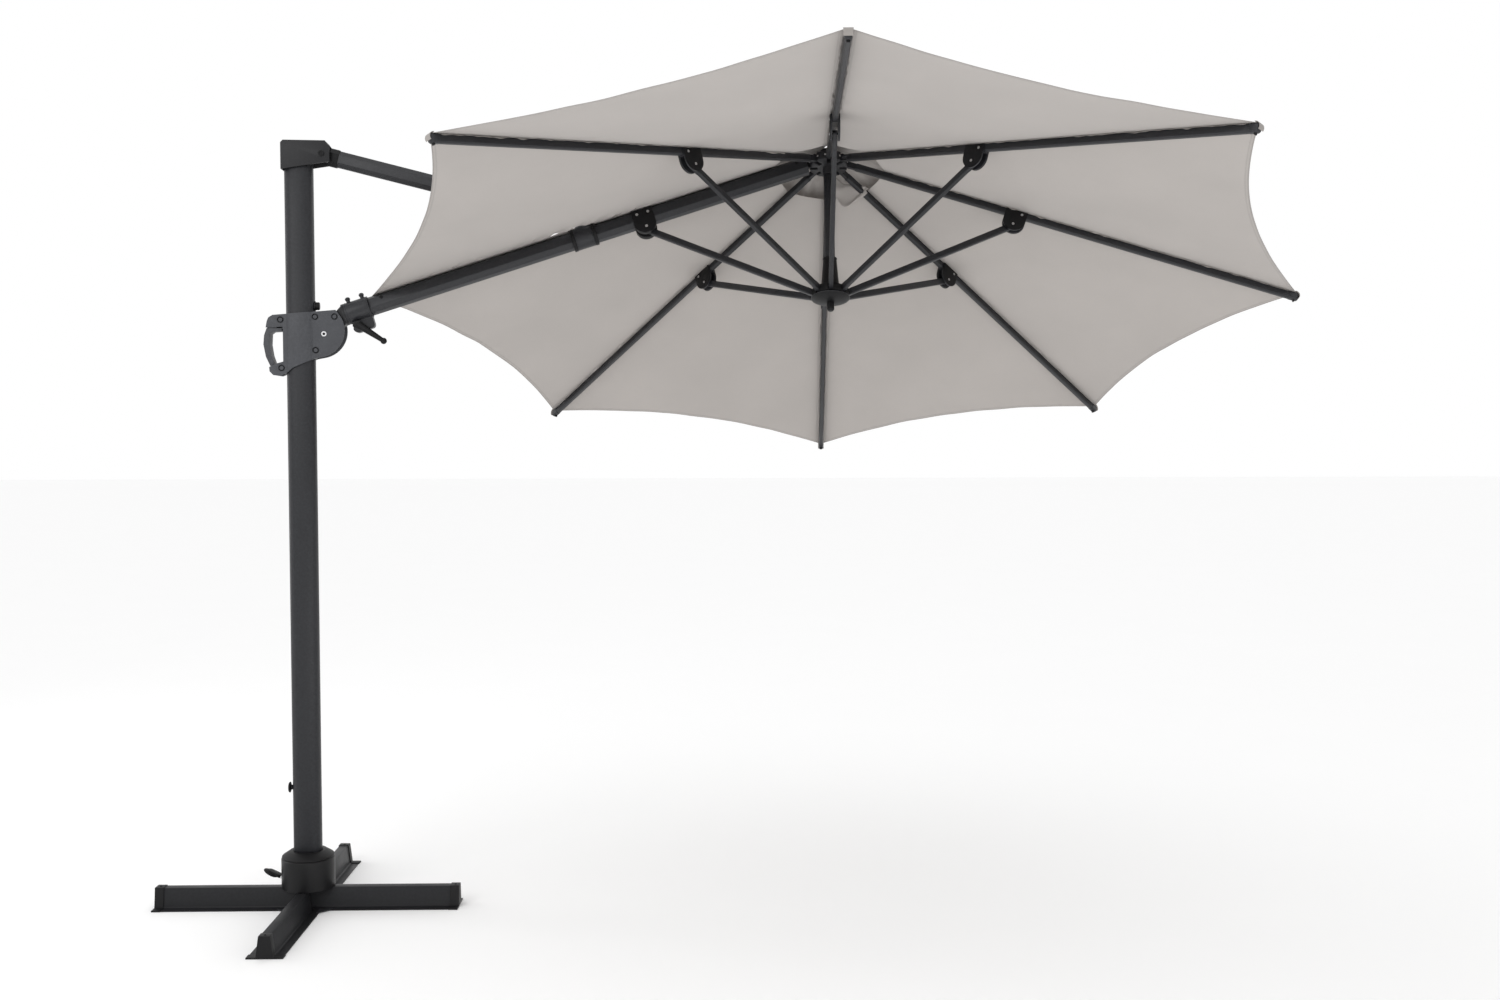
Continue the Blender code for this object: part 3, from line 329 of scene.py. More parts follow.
def stitch_group():
    """A row of stitches at a distance from an edge or a seam."""
    tree, given, gives = group(
        "stitch_row",
        [("Across", "NodeSocketFloat", 0.0), ("Along", "NodeSocketFloat", 0.0),
         ("At", "NodeSocketFloat", 0.02), ("Width", "NodeSocketFloat", 0.0011)],
        [("Mask", "NodeSocketFloat"), ("Groove", "NodeSocketFloat")],
    )
    away = maths(tree, "ABSOLUTE", maths(tree, "SUBTRACT", given.outputs["Across"], given.outputs["At"]))
    line = maths(tree, "LESS_THAN", away, given.outputs["Width"])
    beat = maths(tree, "FRACT", product(tree, given.outputs["Along"], STITCHES_PER_METRE))
    wire(tree, product(tree, line, maths(tree, "LESS_THAN", beat, STITCH_SHARE)), gives.inputs["Mask"])
    # The groove mask is 1 on the row and 0 at GROOVE_WIDTH; it sets the seam's bump and its painted shade.
    wire(tree, ranged(tree, away, 0.0, GROOVE_WIDTH, 1.0, 0.0), gives.inputs["Groove"])
    return tree


GROUPS = {}


def shared(tree, name):
    """One of the shared effects, placed in a material."""
    makers = {"surface_grain": grain_group, "edge_wear": wear_group, "settled_dust": dust_group,
              "plain_weave": weave_group, "stitch_row": stitch_group}
    if name not in GROUPS:
        GROUPS[name] = makers[name]()
    made = node(tree, "ShaderNodeGroup")
    made.node_tree = GROUPS[name]
    return made


def mixed(tree, factor, first, second):
    made = node(tree, "ShaderNodeMix", data_type="RGBA")
    wire(tree, factor, made.inputs["Factor"])
    for socket, value in ((made.inputs["A"], first), (made.inputs["B"], second)):
        if isinstance(value, tuple):
            socket.default_value = (*value, 1.0)
        else:
            wire(tree, value, socket)
    return made.outputs["Result"]


def shades(colour, share):
    return tuple(min(1.0, c * share) for c in colour)


def blank(name):
    """A new material with its tree and its shader."""
    made = bpy.data.materials.new(name)
    made.use_nodes = True
    return made, made.node_tree, made.node_tree.nodes["Principled BSDF"]


def spot_of(tree):
    return node(tree, "ShaderNodeTexCoord").outputs["Object"]


def bumped(tree, shader, height, strength, distance):
    lift = node(tree, "ShaderNodeBump", Strength=strength, Distance=distance)
    wire(tree, height, lift.inputs["Height"])
    wire(tree, lift.outputs["Normal"], shader.inputs["Normal"])


DUST_COLOUR = (0.30, 0.28, 0.25)


def coated(name, colour, roughness, gloss, grain, bump, wear, dust):
    """A coated metal or moulded plastic, with grain, rubbed edges and a little dust."""
    made, tree, shader = blank(name)
    spot = spot_of(tree)
    fine = shared(tree, "surface_grain")
    fine.inputs["Scale"].default_value = grain
    rub = shared(tree, "edge_wear")
    rub.inputs["Amount"].default_value = wear
    film = shared(tree, "settled_dust")
    film.inputs["Amount"].default_value = dust
    for effect in (fine, rub, film):
        wire(tree, spot, effect.inputs["Vector"])
    base = mixed(tree, fine.outputs["Mottle"], shades(colour, 0.90), shades(colour, 1.10))
    rubbed = mixed(tree, rub.outputs["Mask"], base, shades(colour, 3.0))
    dusty = mixed(tree, film.outputs["Mask"], rubbed, DUST_COLOUR)
    wire(tree, dusty, shader.inputs["Base Color"])
    level = ranged(tree, fine.outputs["Mottle"], 0.0, 1.0, roughness - 0.05, roughness + 0.05)
    matt = maths(tree, "ADD", level, product(tree, film.outputs["Mask"], 0.5))
    wire(tree, matt, shader.inputs["Roughness"])
    shader.inputs["Specular IOR Level"].default_value = gloss
    bumped(tree, shader, fine.outputs["Height"], bump, 0.0004)
    return made


def brushed(name, colour):
    """Bare zinc-plated or stainless steel, with a fine brushed grain."""
    made, tree, shader = blank(name)
    lines = noisy(tree, stretched(tree, spot_of(tree), (40.0, 900.0, 900.0)), Scale=1.0, Detail=3.0)
    tone = mixed(tree, lines, shades(colour, 0.82), shades(colour, 1.12))
    wire(tree, tone, shader.inputs["Base Color"])
    wire(tree, ranged(tree, lines, 0.3, 0.7, 0.24, 0.40), shader.inputs["Roughness"])
    shader.inputs["Metallic"].default_value = 1.0
    bumped(tree, shader, lines, 0.08, 0.0002)
    return made


BINDING_WIDTH = 0.0035  # the folded tape along the hem
RIB_SEAMS = (0.016, 0.022)  # from the spoke's middle


def canvas(name, colour):
    """Solution-dyed canvas with a plain weave, sewn hems and rib seams, and painted shade in their grooves."""
    made, tree, shader = blank(name)
    cloth = node(tree, "ShaderNodeUVMap", uv_map="cloth").outputs["UV"]
    split = node(tree, "ShaderNodeSeparateXYZ")
    wire(tree, cloth, split.inputs[0])
    side, hem = split.outputs["X"], split.outputs["Y"]
    from_rib = maths(tree, "ABSOLUTE", side)
    threads = shared(tree, "plain_weave")
    wire(tree, cloth, threads.inputs["Cloth"])
    base = mixed(tree, threads.outputs["Yarn"], shades(colour, 0.965), shades(colour, 1.03))
    cloud = noisy(tree, spot_of(tree), Scale=3.0, Detail=4.0, Roughness=0.5)
    tone = mixed(tree, ranged(tree, cloud, 0.3, 0.7), base, shades(colour, 0.93))
    rows = []
    seams = [(hem, side, at) for at in (bpy.context.scene.parasol.hem, BINDING_WIDTH)]
    for across, along, at in seams + [(from_rib, hem, at) for at in RIB_SEAMS]:
        row = shared(tree, "stitch_row")
        wire(tree, across, row.inputs["Across"])
        wire(tree, along, row.inputs["Along"])
        row.inputs["At"].default_value = at
        rows.append(row)
    mask, groove_and_painted_shade = rows[0].outputs["Mask"], rows[0].outputs["Groove"]
    for row in rows[1:]:
        mask = maths(tree, "MAXIMUM", mask, row.outputs["Mask"])
        groove_and_painted_shade = maths(tree, "MAXIMUM", groove_and_painted_shade, row.outputs["Groove"])
    # Painted shade: the cloth darkens towards 0.60 of its colour near each stitch row, as shade in the seam's
    # groove.
    lines = mixed(tree, product(tree, groove_and_painted_shade, 0.35), tone, shades(colour, 0.60))
    bound = mixed(tree, maths(tree, "LESS_THAN", hem, BINDING_WIDTH), lines, shades(colour, 0.72))
    sewn = mixed(tree, product(tree, mask, 0.6), bound, shades(colour, 0.80))
    wire(tree, sewn, shader.inputs["Base Color"])
    wire(tree, ranged(tree, threads.outputs["Yarn"], 0.0, 1.0, 0.82, 0.94), shader.inputs["Roughness"])
    shader.inputs["Sheen Weight"].default_value = 0.15
    shader.inputs["Sheen Roughness"].default_value = 0.5
    shader.inputs["Specular IOR Level"].default_value = 0.25
    height = maths(tree, "SUBTRACT", product(tree, threads.outputs["Height"], 0.25), groove_and_painted_shade)
    bumped(tree, shader, height, 0.35, 0.0006)
    return made


LOOKS = {}
# each coat: material, colour, share of that colour, roughness, gloss, grain, bump, wear, dust
COATS = {
    "coated_steel": ("anthracite_coat", "metal", 1.0, 0.44, 0.30, 1100, 0.10, 0.30, 0.02),
    "coated_aluminium": ("anthracite_tube", "metal", 1.0, 0.40, 0.34, 1200, 0.08, 0.30, 0.01),
    "leg_coat": ("leg_coat", "metal", 0.62, 0.46, 0.22, 1100, 0.10, 0.25, 0.02),
    "black_casting": ("black_casting", "casting", 1.0, 0.46, 0.28, 700, 0.16, 0.30, 0.01),
    "grey_plastic": ("carriage_plastic", "cheek", 1.0, 0.50, 0.30, 1300, 0.14, 0.25, 0.01),
    "black_plastic": ("black_plastic", "black", 1.0, 0.50, 0.20, 1300, 0.12, 0.25, 0.01),
    "housing_iron": ("housing_coat", "black", 1.0, 0.42, 0.22, 800, 0.16, 0.25, 0.02),
}


def look(name):
    """A finish by its name, made the first time that it is asked for."""
    if name not in LOOKS:
        colours = bpy.context.scene.parasol_colours
        if name in COATS:
            title, tint, share, *values = COATS[name]
            LOOKS[name] = coated(title, shades(getattr(colours, tint), share), *values)
        elif name == "canvas":
            LOOKS[name] = canvas("taupe_canvas", tuple(colours.canvas))
        elif name == "bolt_steel":
            LOOKS[name] = brushed(name, tuple(colours.steel))
    return LOOKS[name]


# ---- modelling by hand ----
def clear():
    """Leave edit mode and deselect everything."""
    if bpy.context.object and bpy.context.object.mode != "OBJECT":
        bpy.ops.object.mode_set(mode="OBJECT")
    bpy.ops.object.select_all(action="DESELECT")


def add(name, data):
    made = bpy.data.objects.new(name, data)
    bpy.context.scene.collection.objects.link(made)
    return made


def alone(obj):
    """Make an object the only selected one."""
    clear()
    bpy.context.view_layer.objects.active = obj
    obj.select_set(True)
    return obj


def start(name, adder, **sizes):
    """Add one primitive with nothing else selected, and enter edit mode on it."""
    clear()
    adder(**sizes)
    made = bpy.context.object
    made.name = made.data.name = name
    bpy.ops.object.mode_set(mode="EDIT")
    bpy.ops.mesh.select_all(action="DESELECT")
    return made


def block(name, size, place=(0, 0, 0)):
    """Add a box of a size, with that size applied, and enter edit mode on it."""
    made = start(name, bpy.ops.mesh.primitive_cube_add, size=1.0, location=place, scale=size)
    bpy.ops.object.mode_set(mode="OBJECT")
    bpy.ops.object.transform_apply(location=True, rotation=True, scale=True)
    bpy.ops.object.mode_set(mode="EDIT")
    return made


def drum(name, radius, height, sides, foot=0.0):
    """Add a cylinder that stands on Z, with its foot at a height, and enter edit mode on it."""
    return start(name, bpy.ops.mesh.primitive_cylinder_add, vertices=sides, radius=radius, depth=height,
                 location=(0, 0, foot + height / 2))


def pick(obj, faces=None, edges=None):
    """Select in edit mode what passes a test on its middle and its normal or direction."""
    bpy.ops.mesh.select_mode(type="FACE" if faces else "EDGE")
    bpy.ops.mesh.select_all(action="DESELECT")
    shape = bmesh.from_edit_mesh(obj.data)
    if faces:
        for face in shape.faces:
            face.select_set(bool(faces(face.calc_center_median(), face.normal)))
    else:
        for edge in shape.edges:
            a, b = (v.co for v in edge.verts)
            edge.select_set(bool(edges((a + b) / 2, (b - a).normalized())))
    shape.select_flush_mode()
    bmesh.update_edit_mesh(obj.data)


def extrude(x, y, z):
    bpy.ops.mesh.extrude_region_move(TRANSFORM_OT_translate={"value": (x, y, z)})


def smooth(obj, angle):
    """Shade a piece smooth up to an angle."""
    alone(obj)
    bpy.ops.object.shade_smooth_by_angle(angle=math.radians(angle))


def done(obj, angle=35):
    """Leave edit mode, apply the piece's place and shade it smooth."""
    alone(obj)
    bpy.ops.object.transform_apply(location=True, rotation=True, scale=True)
    smooth(obj, angle)
    return obj


def dress(obj, finish, body):
    """Give a piece its finish and the body that it moves with."""
    obj.data.materials.clear()
    obj.data.materials.append(look(finish))
    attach(obj, body)
    return obj


def settle(template, name, place, finish, body):
    """A copy of a modelled piece, with its place in its own mesh."""
    made = add(name, template.data.copy())
    made.data.transform(place)
    return dress(made, finish, body)


def drop(*templates):
    for template in templates:
        bpy.data.objects.remove(template)


def with_modifier(obj, kind, **values):
    modifier = obj.modifiers.new(kind, kind)
    for key, value in values.items():
        setattr(modifier, key, value)
    alone(obj)
    bpy.ops.object.modifier_apply(modifier=modifier.name)
    return obj


MERGE = 0.00001  # loose corners closer than this are one
FLAT = 0.4  # degrees between triangles of one flat face
LEAST_SMOOTH = 32  # degrees


def rounded(name, width, segments, angle, cutters=(), fillets=(), finish=None):
    """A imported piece's own shape with its edges rounded, which stands for it."""
    made = add(f"{name}_body", frame["nodes"][name].data.copy())
    alone(made)
    if made.data.has_custom_normals:
        bpy.ops.mesh.customdata_custom_splitnormals_clear()
    bpy.ops.object.mode_set(mode="EDIT")
    bpy.ops.mesh.select_all(action="SELECT")
    bpy.ops.mesh.remove_doubles(threshold=MERGE)
    bpy.ops.mesh.dissolve_limited(angle_limit=math.radians(FLAT))
    for test, offset, steps in fillets:
        pick(made, edges=test)
        bpy.ops.mesh.bevel(offset=offset, segments=steps, clamp_overlap=True)
    bpy.ops.object.mode_set(mode="OBJECT")
    for cutter in cutters:
        with_modifier(made, "BOOLEAN", operation="DIFFERENCE", object=cutter)
    with_modifier(made, "BEVEL", width=width, segments=segments, limit_method="ANGLE",
                  angle_limit=math.radians(angle), use_clamp_overlap=True)
    with_modifier(made, "WEIGHTED_NORMAL", keep_sharp=True)
    smooth(made, max(angle, LEAST_SMOOTH))
    dress(made, finish or SLOT[name], BODY[name])
    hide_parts(name)


def rivet(radius, height, segments=20):
    """A low domed head, standing on Z."""
    made = drum("rivet", radius, height, segments)
    pick(made, faces=lambda c, n: n.z > 0.9)
    bpy.ops.mesh.inset(thickness=radius * 0.06)
    bpy.ops.mesh.bevel(offset=min(height, radius) * 0.55, segments=4)
    return done(made)


def socket_screw(radius, height):
    """A round head with a chamfered rim and a round socket."""
    made = drum("screw", radius, height, 24)
    pick(made, edges=lambda c, d: c.z > height * 0.9)
    bpy.ops.mesh.bevel(offset=height * 0.25, segments=2)
    pick(made, faces=lambda c, n: n.z > 0.9 and c.length < height * 1.2)
    bpy.ops.mesh.inset(thickness=radius * 0.38)
    extrude(0, 0, -height * 0.7)
    return done(made)


def bar(name, length, width, height, chamfer, end, both=True):
    """A bar along X from the origin, with four cut corners and one or both ends rounded."""
    made = block(name, (length, width, height), (length / 2, 0, 0))
    pick(made, edges=lambda c, d: abs(d.x) > 0.9)
    bpy.ops.mesh.bevel(offset=chamfer, segments=1)
    pick(made, edges=lambda c, d: abs(d.x) < 0.1 and (c.x > length - 1e-5 or (both and c.x < 1e-5)))
    bpy.ops.mesh.bevel(offset=end, segments=2 if end < 0.004 else 5)
    return done(made)


def ring(name, major, minor, steps):
    """A thin round ring about Z."""
    return done(start(name, bpy.ops.mesh.primitive_torus_add, major_radius=major, minor_radius=minor,
                      major_segments=steps, minor_segments=8), 60)


# ---- pieces ----
CAP_SCREW = (0.486, 0, 0.0695)  # on a leg's own axes, from the cross's middle
LINK_FOOT = (-0.064, 0.090)  # along the long leg and up
LINK_HEAD = (-0.084, 0.098)
LINK_SIDE = 0.0062  # from the pedal's middle to each link
LINK_TILT = 202  # degrees
GUSSET_OUT = 0.070


def make_base():
    for name in ("leg_long", "leg_rear", "leg_front"):
        place = CROSS if name == "leg_long" else CROSS @ turn("Z", 90 if name == "leg_rear" else -90)
        back = place.inverted()

        def root(middle, direction, back=back):
            """Whether an edge is the corner between the foot flange and the upright wall."""
            at = back @ middle
            lengthwise = abs((back.to_3x3() @ direction).x) > 0.9
            return lengthwise and 0.002 < at.z < 0.0045 and 0.020 < abs(at.y) < 0.028

        rounded(name, 0.0009, 2, 30, fillets=[(root, 0.0055, 5)], finish="leg_coat")
    for name in ("end_cap_right", "end_cap_rear", "end_cap_left", "end_cap_front"):
        rounded(name, 0.0016, 3, 30)
    rounded("housing", 0.0035, 3, 35)
    rounded("swivel_post", 0.0015, 2, 35)
    rounded("foot_pedal", 0.0018, 3, 30)
    screw = socket_screw(0.0042, 0.0022)
    plate = bar("plate", 0.034, 0.0016, 0.010, 0.0012, 0.0004)
    for i, name in enumerate(("right", "rear", "left", "front")):
        spot = CROSS @ turn("Z", 90 * i) @ move(*CAP_SCREW)
        settle(screw, f"cap_screw_{name}", spot, "black_casting", "base")
    for sign, side in FRONT_REAR:
        spot = CROSS @ move(LINK_FOOT[0], sign * LINK_SIDE, LINK_FOOT[1]) @ turn("Y", LINK_TILT)
        settle(plate, f"pedal_link_{side}", spot, "bolt_steel", "pedal")
        spot = facing(CROSS, LINK_HEAD[0], LINK_SIDE * 1.14, LINK_HEAD[1], sign) @ Matrix.Scale(0.7, 4)
        settle(screw, f"pedal_screw_{side}", spot, "bolt_steel", "pedal")
    low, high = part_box("foot_pedal")
    paddle = done(start("paddle", bpy.ops.mesh.primitive_uv_sphere_add, radius=1.0, segments=32,
                        ring_count=16, scale=(0.026, 0.019, 0.0078)), 60)
    toe = CROSS.inverted() @ Vector((low.x, (low.y + high.y) / 2, high.z))
    spot = CROSS @ move(toe.x + 0.012, 0, toe.z - 0.014) @ turn("Y", 30)
    settle(paddle, "pedal_paddle", spot, "black_plastic", "pedal")
    gusset = block("gusset", (0.046, 0.046, 0.002), (0, 0, 0.0045))
    bpy.ops.mesh.select_all(action="SELECT")
    bpy.ops.mesh.bisect(plane_co=(0, 0, 0), plane_no=(1, 1, 0), clear_outer=True, use_fill=True)
    done(gusset)
    for i in range(4):
        spot = CROSS @ turn("Z", 90 * i) @ move(GUSSET_OUT, GUSSET_OUT, 0)
        settle(gusset, f"foot_gusset_{i}", spot, "coated_steel", "base")
    drop(screw, plate, paddle, gusset)
    rounded("tie_plate", 0.0010, 2, 35)


def make_mast():
    rounded("mast_tube", 0.0008, 2, 40)
    rounded("mast_skirt", 0.0020, 3, 35)
    rounded("mast_head", 0.0055, 4, 35)
    rounded("upper_stop", 0.0025, 3, 35)
    rounded("lower_knob", 0.0015, 2, 35)
    bolt = socket_screw(0.0088, 0.0022)
    for sign, side in FRONT_REAR:
        spot = facing(move(*HEAD_PIVOT), 0, HEAD_FACE, 0, sign)
        settle(bolt, f"head_bolt_{side}", spot, "black_plastic", "mast")
    washer = rivet(0.0165, 0.0016, 28)
    low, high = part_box("upper_stop")
    spot = move(low.x, (low.y + high.y) / 2, (low.z + high.z) / 2) @ turn("Y", 90)
    settle(washer, "stop_washer", spot, "black_casting", "mast")
    drop(bolt, washer)


CHEEK_SCREWS = ((-0.138, 0.045), (-0.028, 0.055), (0.034, 0.056), (-0.027, -0.053), (-0.136, -0.111))
RECESS_DEPTH = 0.0026  # of the sunk ring round each cheek screw
RECESS_RADIUS = 0.0108
EAR_WEB = (-0.1570, 0, 0.0205)  # the bridge between the cheeks, behind the mast
PIVOT_PROUD = 0.0004  # how far the pivot's washer stands off the cheek


def make_carriage():
    dome = rivet(0.0066, 0.0042, 24)
    for sign, side in FRONT_REAR:
        cutters = []
        for x, z in CHEEK_SCREWS:
            cutter = done(drum("recess", RECESS_RADIUS, 0.02, 32, -RECESS_DEPTH))
            cutter.data.transform(facing(CARRIAGE, x, CHEEK_FACE, z, sign))
            cutters.append(cutter)
        rounded(f"cheek_{side}", 0.0024, 3, 30, cutters=cutters)
        drop(*cutters)
        for i, (x, z) in enumerate(CHEEK_SCREWS):
            spot = facing(CARRIAGE, x, CHEEK_FACE - RECESS_DEPTH, z, sign)
            settle(dome, f"cheek_screw_{side}_{i}", spot, "grey_plastic", "carriage")
    drop(dome)
    web = block("web", (0.050, 0.049, 0.008))
    bpy.ops.mesh.select_all(action="SELECT")
    bpy.ops.mesh.bevel(offset=0.0015, segments=2)
    done(web)
    settle(web, "ear_web_upper", CARRIAGE @ move(*EAR_WEB), "grey_plastic", "carriage")
    drop(web)
    rounded("latch_block", 0.0015, 2, 30)
    rounded("squeeze_grip", 0.0040, 4, 32)
    rounded("pivot_bolt", 0.0005, 2, 35)
    washer = drum("washer", 0.0084, 0.0022, 40)
    pick(washer, faces=lambda c, n: n.z > 0.9)
    bpy.ops.mesh.inset(thickness=0.0036)
    extrude(0, 0, -0.0014)
    pick(washer, edges=lambda c, d: c.z > 0.0020)
    bpy.ops.mesh.bevel(offset=0.0003, segments=2)
    done(washer)
    plug = drum("plug", 0.0046, 0.0016, 6, 0.0002)
    pick(plug, faces=lambda c, n: n.z > 0.9)
    bpy.ops.mesh.inset(thickness=0.0008)
    extrude(0, 0, -0.0006)
    done(plug)
    for sign, side in FRONT_REAR:
        spot = facing(CARRIAGE, 0, CHEEK_FACE + PIVOT_PROUD, 0, sign)
        settle(washer, f"pivot_washer_{side}", spot, "bolt_steel", "carriage")
        settle(plug, f"pivot_socket_{side}", spot, "black_plastic", "carriage")
    drop(washer, plug)


# along the arm from the pitch axis
SLEEVE_ENDS = {"clamp": (0.0905, 0.1600), "collar": (0.8735, 0.9270)}
CLAMP_BOLTS = (0.1035, 0.1500)
CLAMP_SCREW = (0.0985, 0.0160, -0.004)
SLEEVE_TOP = 0.0450  # the clamp's ears, over the arm's axis
BEAD_RADIUS = 0.0352


def make_knuckle():
    rounded("tilt_yoke", 0.0012, 3, 30)
    rounded("arm_clamp", 0.0012, 3, 30)
    rounded("clamp_lever", 0.0008, 2, 40)
    rounded("strut_collar", 0.0012, 3, 30)
    rounded("collar_pin", 0.0008, 2, 35)
    bead = ring("bead", BEAD_RADIUS, 0.0011, 64)
    for sleeve, ends in SLEEVE_ENDS.items():
        for i, x in enumerate(ends):
            spot = KNUCKLE @ move(x, 0, ARM_AXIS_RISE) @ turn("Y", 90)
            settle(bead, f"{sleeve}_bead_{i}", spot, "coated_aluminium", "knuckle")
    cap = done(start("cap", bpy.ops.mesh.primitive_uv_sphere_add, radius=0.0086, segments=24,
                     ring_count=14, scale=(1.0, 1.0, 0.82)), 60)
    for i, x in enumerate(CLAMP_BOLTS):
        spot = KNUCKLE @ move(x, 0, ARM_AXIS_RISE + SLEEVE_TOP)
        settle(cap, f"clamp_bolt_{i}", spot, "coated_steel", "knuckle")
    small = socket_screw(0.0050, 0.0030)
    settle(small, "clamp_screw", facing(KNUCKLE, *CLAMP_SCREW, -1), "black_plastic", "knuckle")
    pin = rivet(0.0075, 0.0022, 24)
    for (sign, side), end in zip(FRONT_REAR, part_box("collar_pin")):
        spot = move(STRUT_END.x, end.y, STRUT_END.z) @ turn("X", -90 * sign)
        settle(pin, f"collar_pin_head_{side}", spot, "bolt_steel", "knuckle")
    drop(bead, cap, small, pin)


STRUT_BOOT_START = 0.0215  # from the head's pin to the upper boot
STRUT_SHORT = 0.048  # the tube ends this far from the lower pin
STRUT_BOOT_BACK = 0.0285  # the lower boot's start, back from that end


def make_strut():
    rounded("upper_strut", 0.0009, 2, 25)
    boot = bar("boot", 0.030, 0.0445, 0.0575, 0.0155, 0.0022)
    foot = (STRUT_END - HEAD_PIVOT).length - STRUT_SHORT - STRUT_BOOT_BACK
    for name, along in (("strut_boot", STRUT_BOOT_START), ("strut_foot_cap", foot)):
        settle(boot, name, STRUT @ move(along, 0, 0), "black_plastic", "strut")
    drop(boot)


ARM_RIVETS = ((0.018, 0.006), (-0.020, 0.006), (0.0, BRACKET.z))  # from the bracket's middle
ARM_BOLT = (0.2110, 0.0250, 0.009)  # on the arm's own axes
ARM_TIP_BOLT = (0.056, 0.0250, 0.010)  # from the hub


def make_arm():
    rounded("arm_tube", 0.0012, 2, 25)
    rounded("stop_ring_lower", 0.0016, 3, 30)
    rounded("stop_ring_upper", 0.0016, 3, 30)
    rounded("arm_tip", 0.0010, 2, 30)
    rounded("arm_bracket", 0.0012, 2, 30)
    stud = rivet(0.0042, 0.0018)
    for sign, side in ((-1, "one"), (1, "two")):
        for i, (x, z) in enumerate(ARM_RIVETS):
            spot = facing(RIB[ARM_SPOKE], BRACKET.x + x, BRACKET_FACE, z, sign)
            settle(stud, f"arm_rivet_{side}_{i}", spot, "bolt_steel", "arm")
    bolt = socket_screw(0.0058, 0.0020)
    for sign, side in FRONT_REAR:
        spot = facing(ARM_PLACE, *ARM_BOLT, sign)
        settle(bolt, f"arm_bolt_{side}", spot, "black_plastic", "arm")
        spot = facing(RIB[ARM_SPOKE], *ARM_TIP_BOLT, sign)
        settle(bolt, f"arm_tip_bolt_{side}", spot, "black_plastic", "arm")
    drop(stud, bolt)


LUG_TURN = 10.5  # degrees from a spoke to the rivet on its lug
SUNK = 0.0002  # how far a rivet sits into its face
RIM_DOWN = -0.0165  # the runner's rim, under its pins
BAND_UP = 0.1225  # the band on the runner's neck


def make_hub():
    rounded("hub", 0.0008, 2, 35)
    rounded("centre_pole", 0.0010, 2, 40)
    rounded("runner", 0.0008, 2, 35)
    rounded("runner_knob", 0.0012, 3, 35)
    stud = rivet(0.0030, 0.0014, 16)
    for k in range(SPOKES):
        for sign, side in ((-1, "a"), (1, "b")):
            spin = turn("Z", 360 * k / SPOKES + sign * LUG_TURN)
            spot = CANOPY @ spin @ move(LUG_FACE - SUNK, 0, -PIN_RADIUS * math.tan(SLOPE)) @ turn("Y", 90)
            settle(stud, f"hub_rivet_{k}_{side}", spot, "bolt_steel", "hub")
    rim = ring("rim", 0.0618, 0.0012, 72)
    settle(rim, "runner_rim", RUNNER @ move(0, 0, RIM_DOWN), "coated_aluminium", "runner")
    band = ring("band", 0.0222, 0.0014, 48)
    settle(band, "neck_band", RUNNER @ move(0, 0, BAND_UP), "black_plastic", "runner")
    drop(stud, rim, band)


BRACKET_RADIUS = 0.0368
BRACKET_TOP = 0.0362
BRACKET_SPREAD = 1.45  # squares the upper half
BRACKET_SIDE = 0.0142  # from the rib's middle to each plate
BRACKET_DROP = -0.028
RIVET_SIDE = 0.0147
RIB_RIVETS = ((0.019, -0.004), (0.0, BRACKET.z))
TIP_BACK = 0.0275  # from the rib's end
HOOK_BACK = 0.0120
HOOK_DROP = -0.0150


def bracket_cheek():
    """One side of a rib's bracket: a thin plate with a round bottom and a square top."""
    made = drum("cheek", BRACKET_RADIUS, 0.0012, 48, -0.0006)
    shape = bmesh.from_edit_mesh(made.data)
    for point in shape.verts:
        if point.co.y > 0:
            point.co.x = max(-BRACKET_RADIUS, min(BRACKET_RADIUS, point.co.x * BRACKET_SPREAD))
            point.co.y = min(BRACKET_TOP, point.co.y * BRACKET_SPREAD)
    bmesh.update_edit_mesh(made.data)
    pick(made, faces=lambda c, n: abs(n.z) > 0.9)
    bpy.ops.mesh.bevel(offset=0.0004, segments=2)
    return done(made)


def make_spokes():
    length = (RIB_REACH - PIN_RADIUS) / math.cos(SLOPE)
    plate = bracket_cheek()
    stud = rivet(0.0038, 0.0016, 18)
    tip = bar("tip", 0.030, 0.0196, 0.0262, 0.0044, 0.0080, both=False)
    hook = bar("hook", 0.005, 0.0100, 0.0060, 0.0010, 0.0008)
    for k in range(SPOKES):
        if k != ARM_SPOKE:
            body = f"rib_{k}"
            rounded(body, 0.0008, 2, 25)
            settle(tip, f"rib_tip_{k}", RIB[k] @ move(length - TIP_BACK, 0, 0), "coated_aluminium", body)
            spot = RIB[k] @ move(length - HOOK_BACK, 0, HOOK_DROP)
            settle(hook, f"rib_hook_{k}", spot, "black_plastic", body)
            for sign, side in ((-1, "a"), (1, "b")):
                spot = RIB[k] @ move(BRACKET.x, sign * BRACKET_SIDE, BRACKET_DROP) @ turn("X", 90)
                settle(plate, f"bracket_{k}_{side}", spot, "black_plastic", body)
                for i, (x, z) in enumerate(RIB_RIVETS):
                    spot = facing(RIB[k], BRACKET.x + x, RIVET_SIDE, z, sign)
                    settle(stud, f"bracket_rivet_{k}_{side}_{i}", spot, "bolt_steel", body)
        rounded(f"stay_{k}", 0.0007, 2, 25)
    drop(plate, stud, tip, hook)


# ---- cover ----
def ridge(k, radius):
    """A point on the cover over a spoke, at a distance from the pole."""
    sizes = bpy.context.scene.parasol
    rise = sizes.arm_rise if k % SPOKES == ARM_SPOKE else sizes.rib_rise
    return APEX + OUT[k % SPOKES] * radius + UP * (rise / math.cos(SLOPE) - radius * math.tan(SLOPE))


def waver(x, y, z):
    return noise.noise(Vector((x, y, z)))


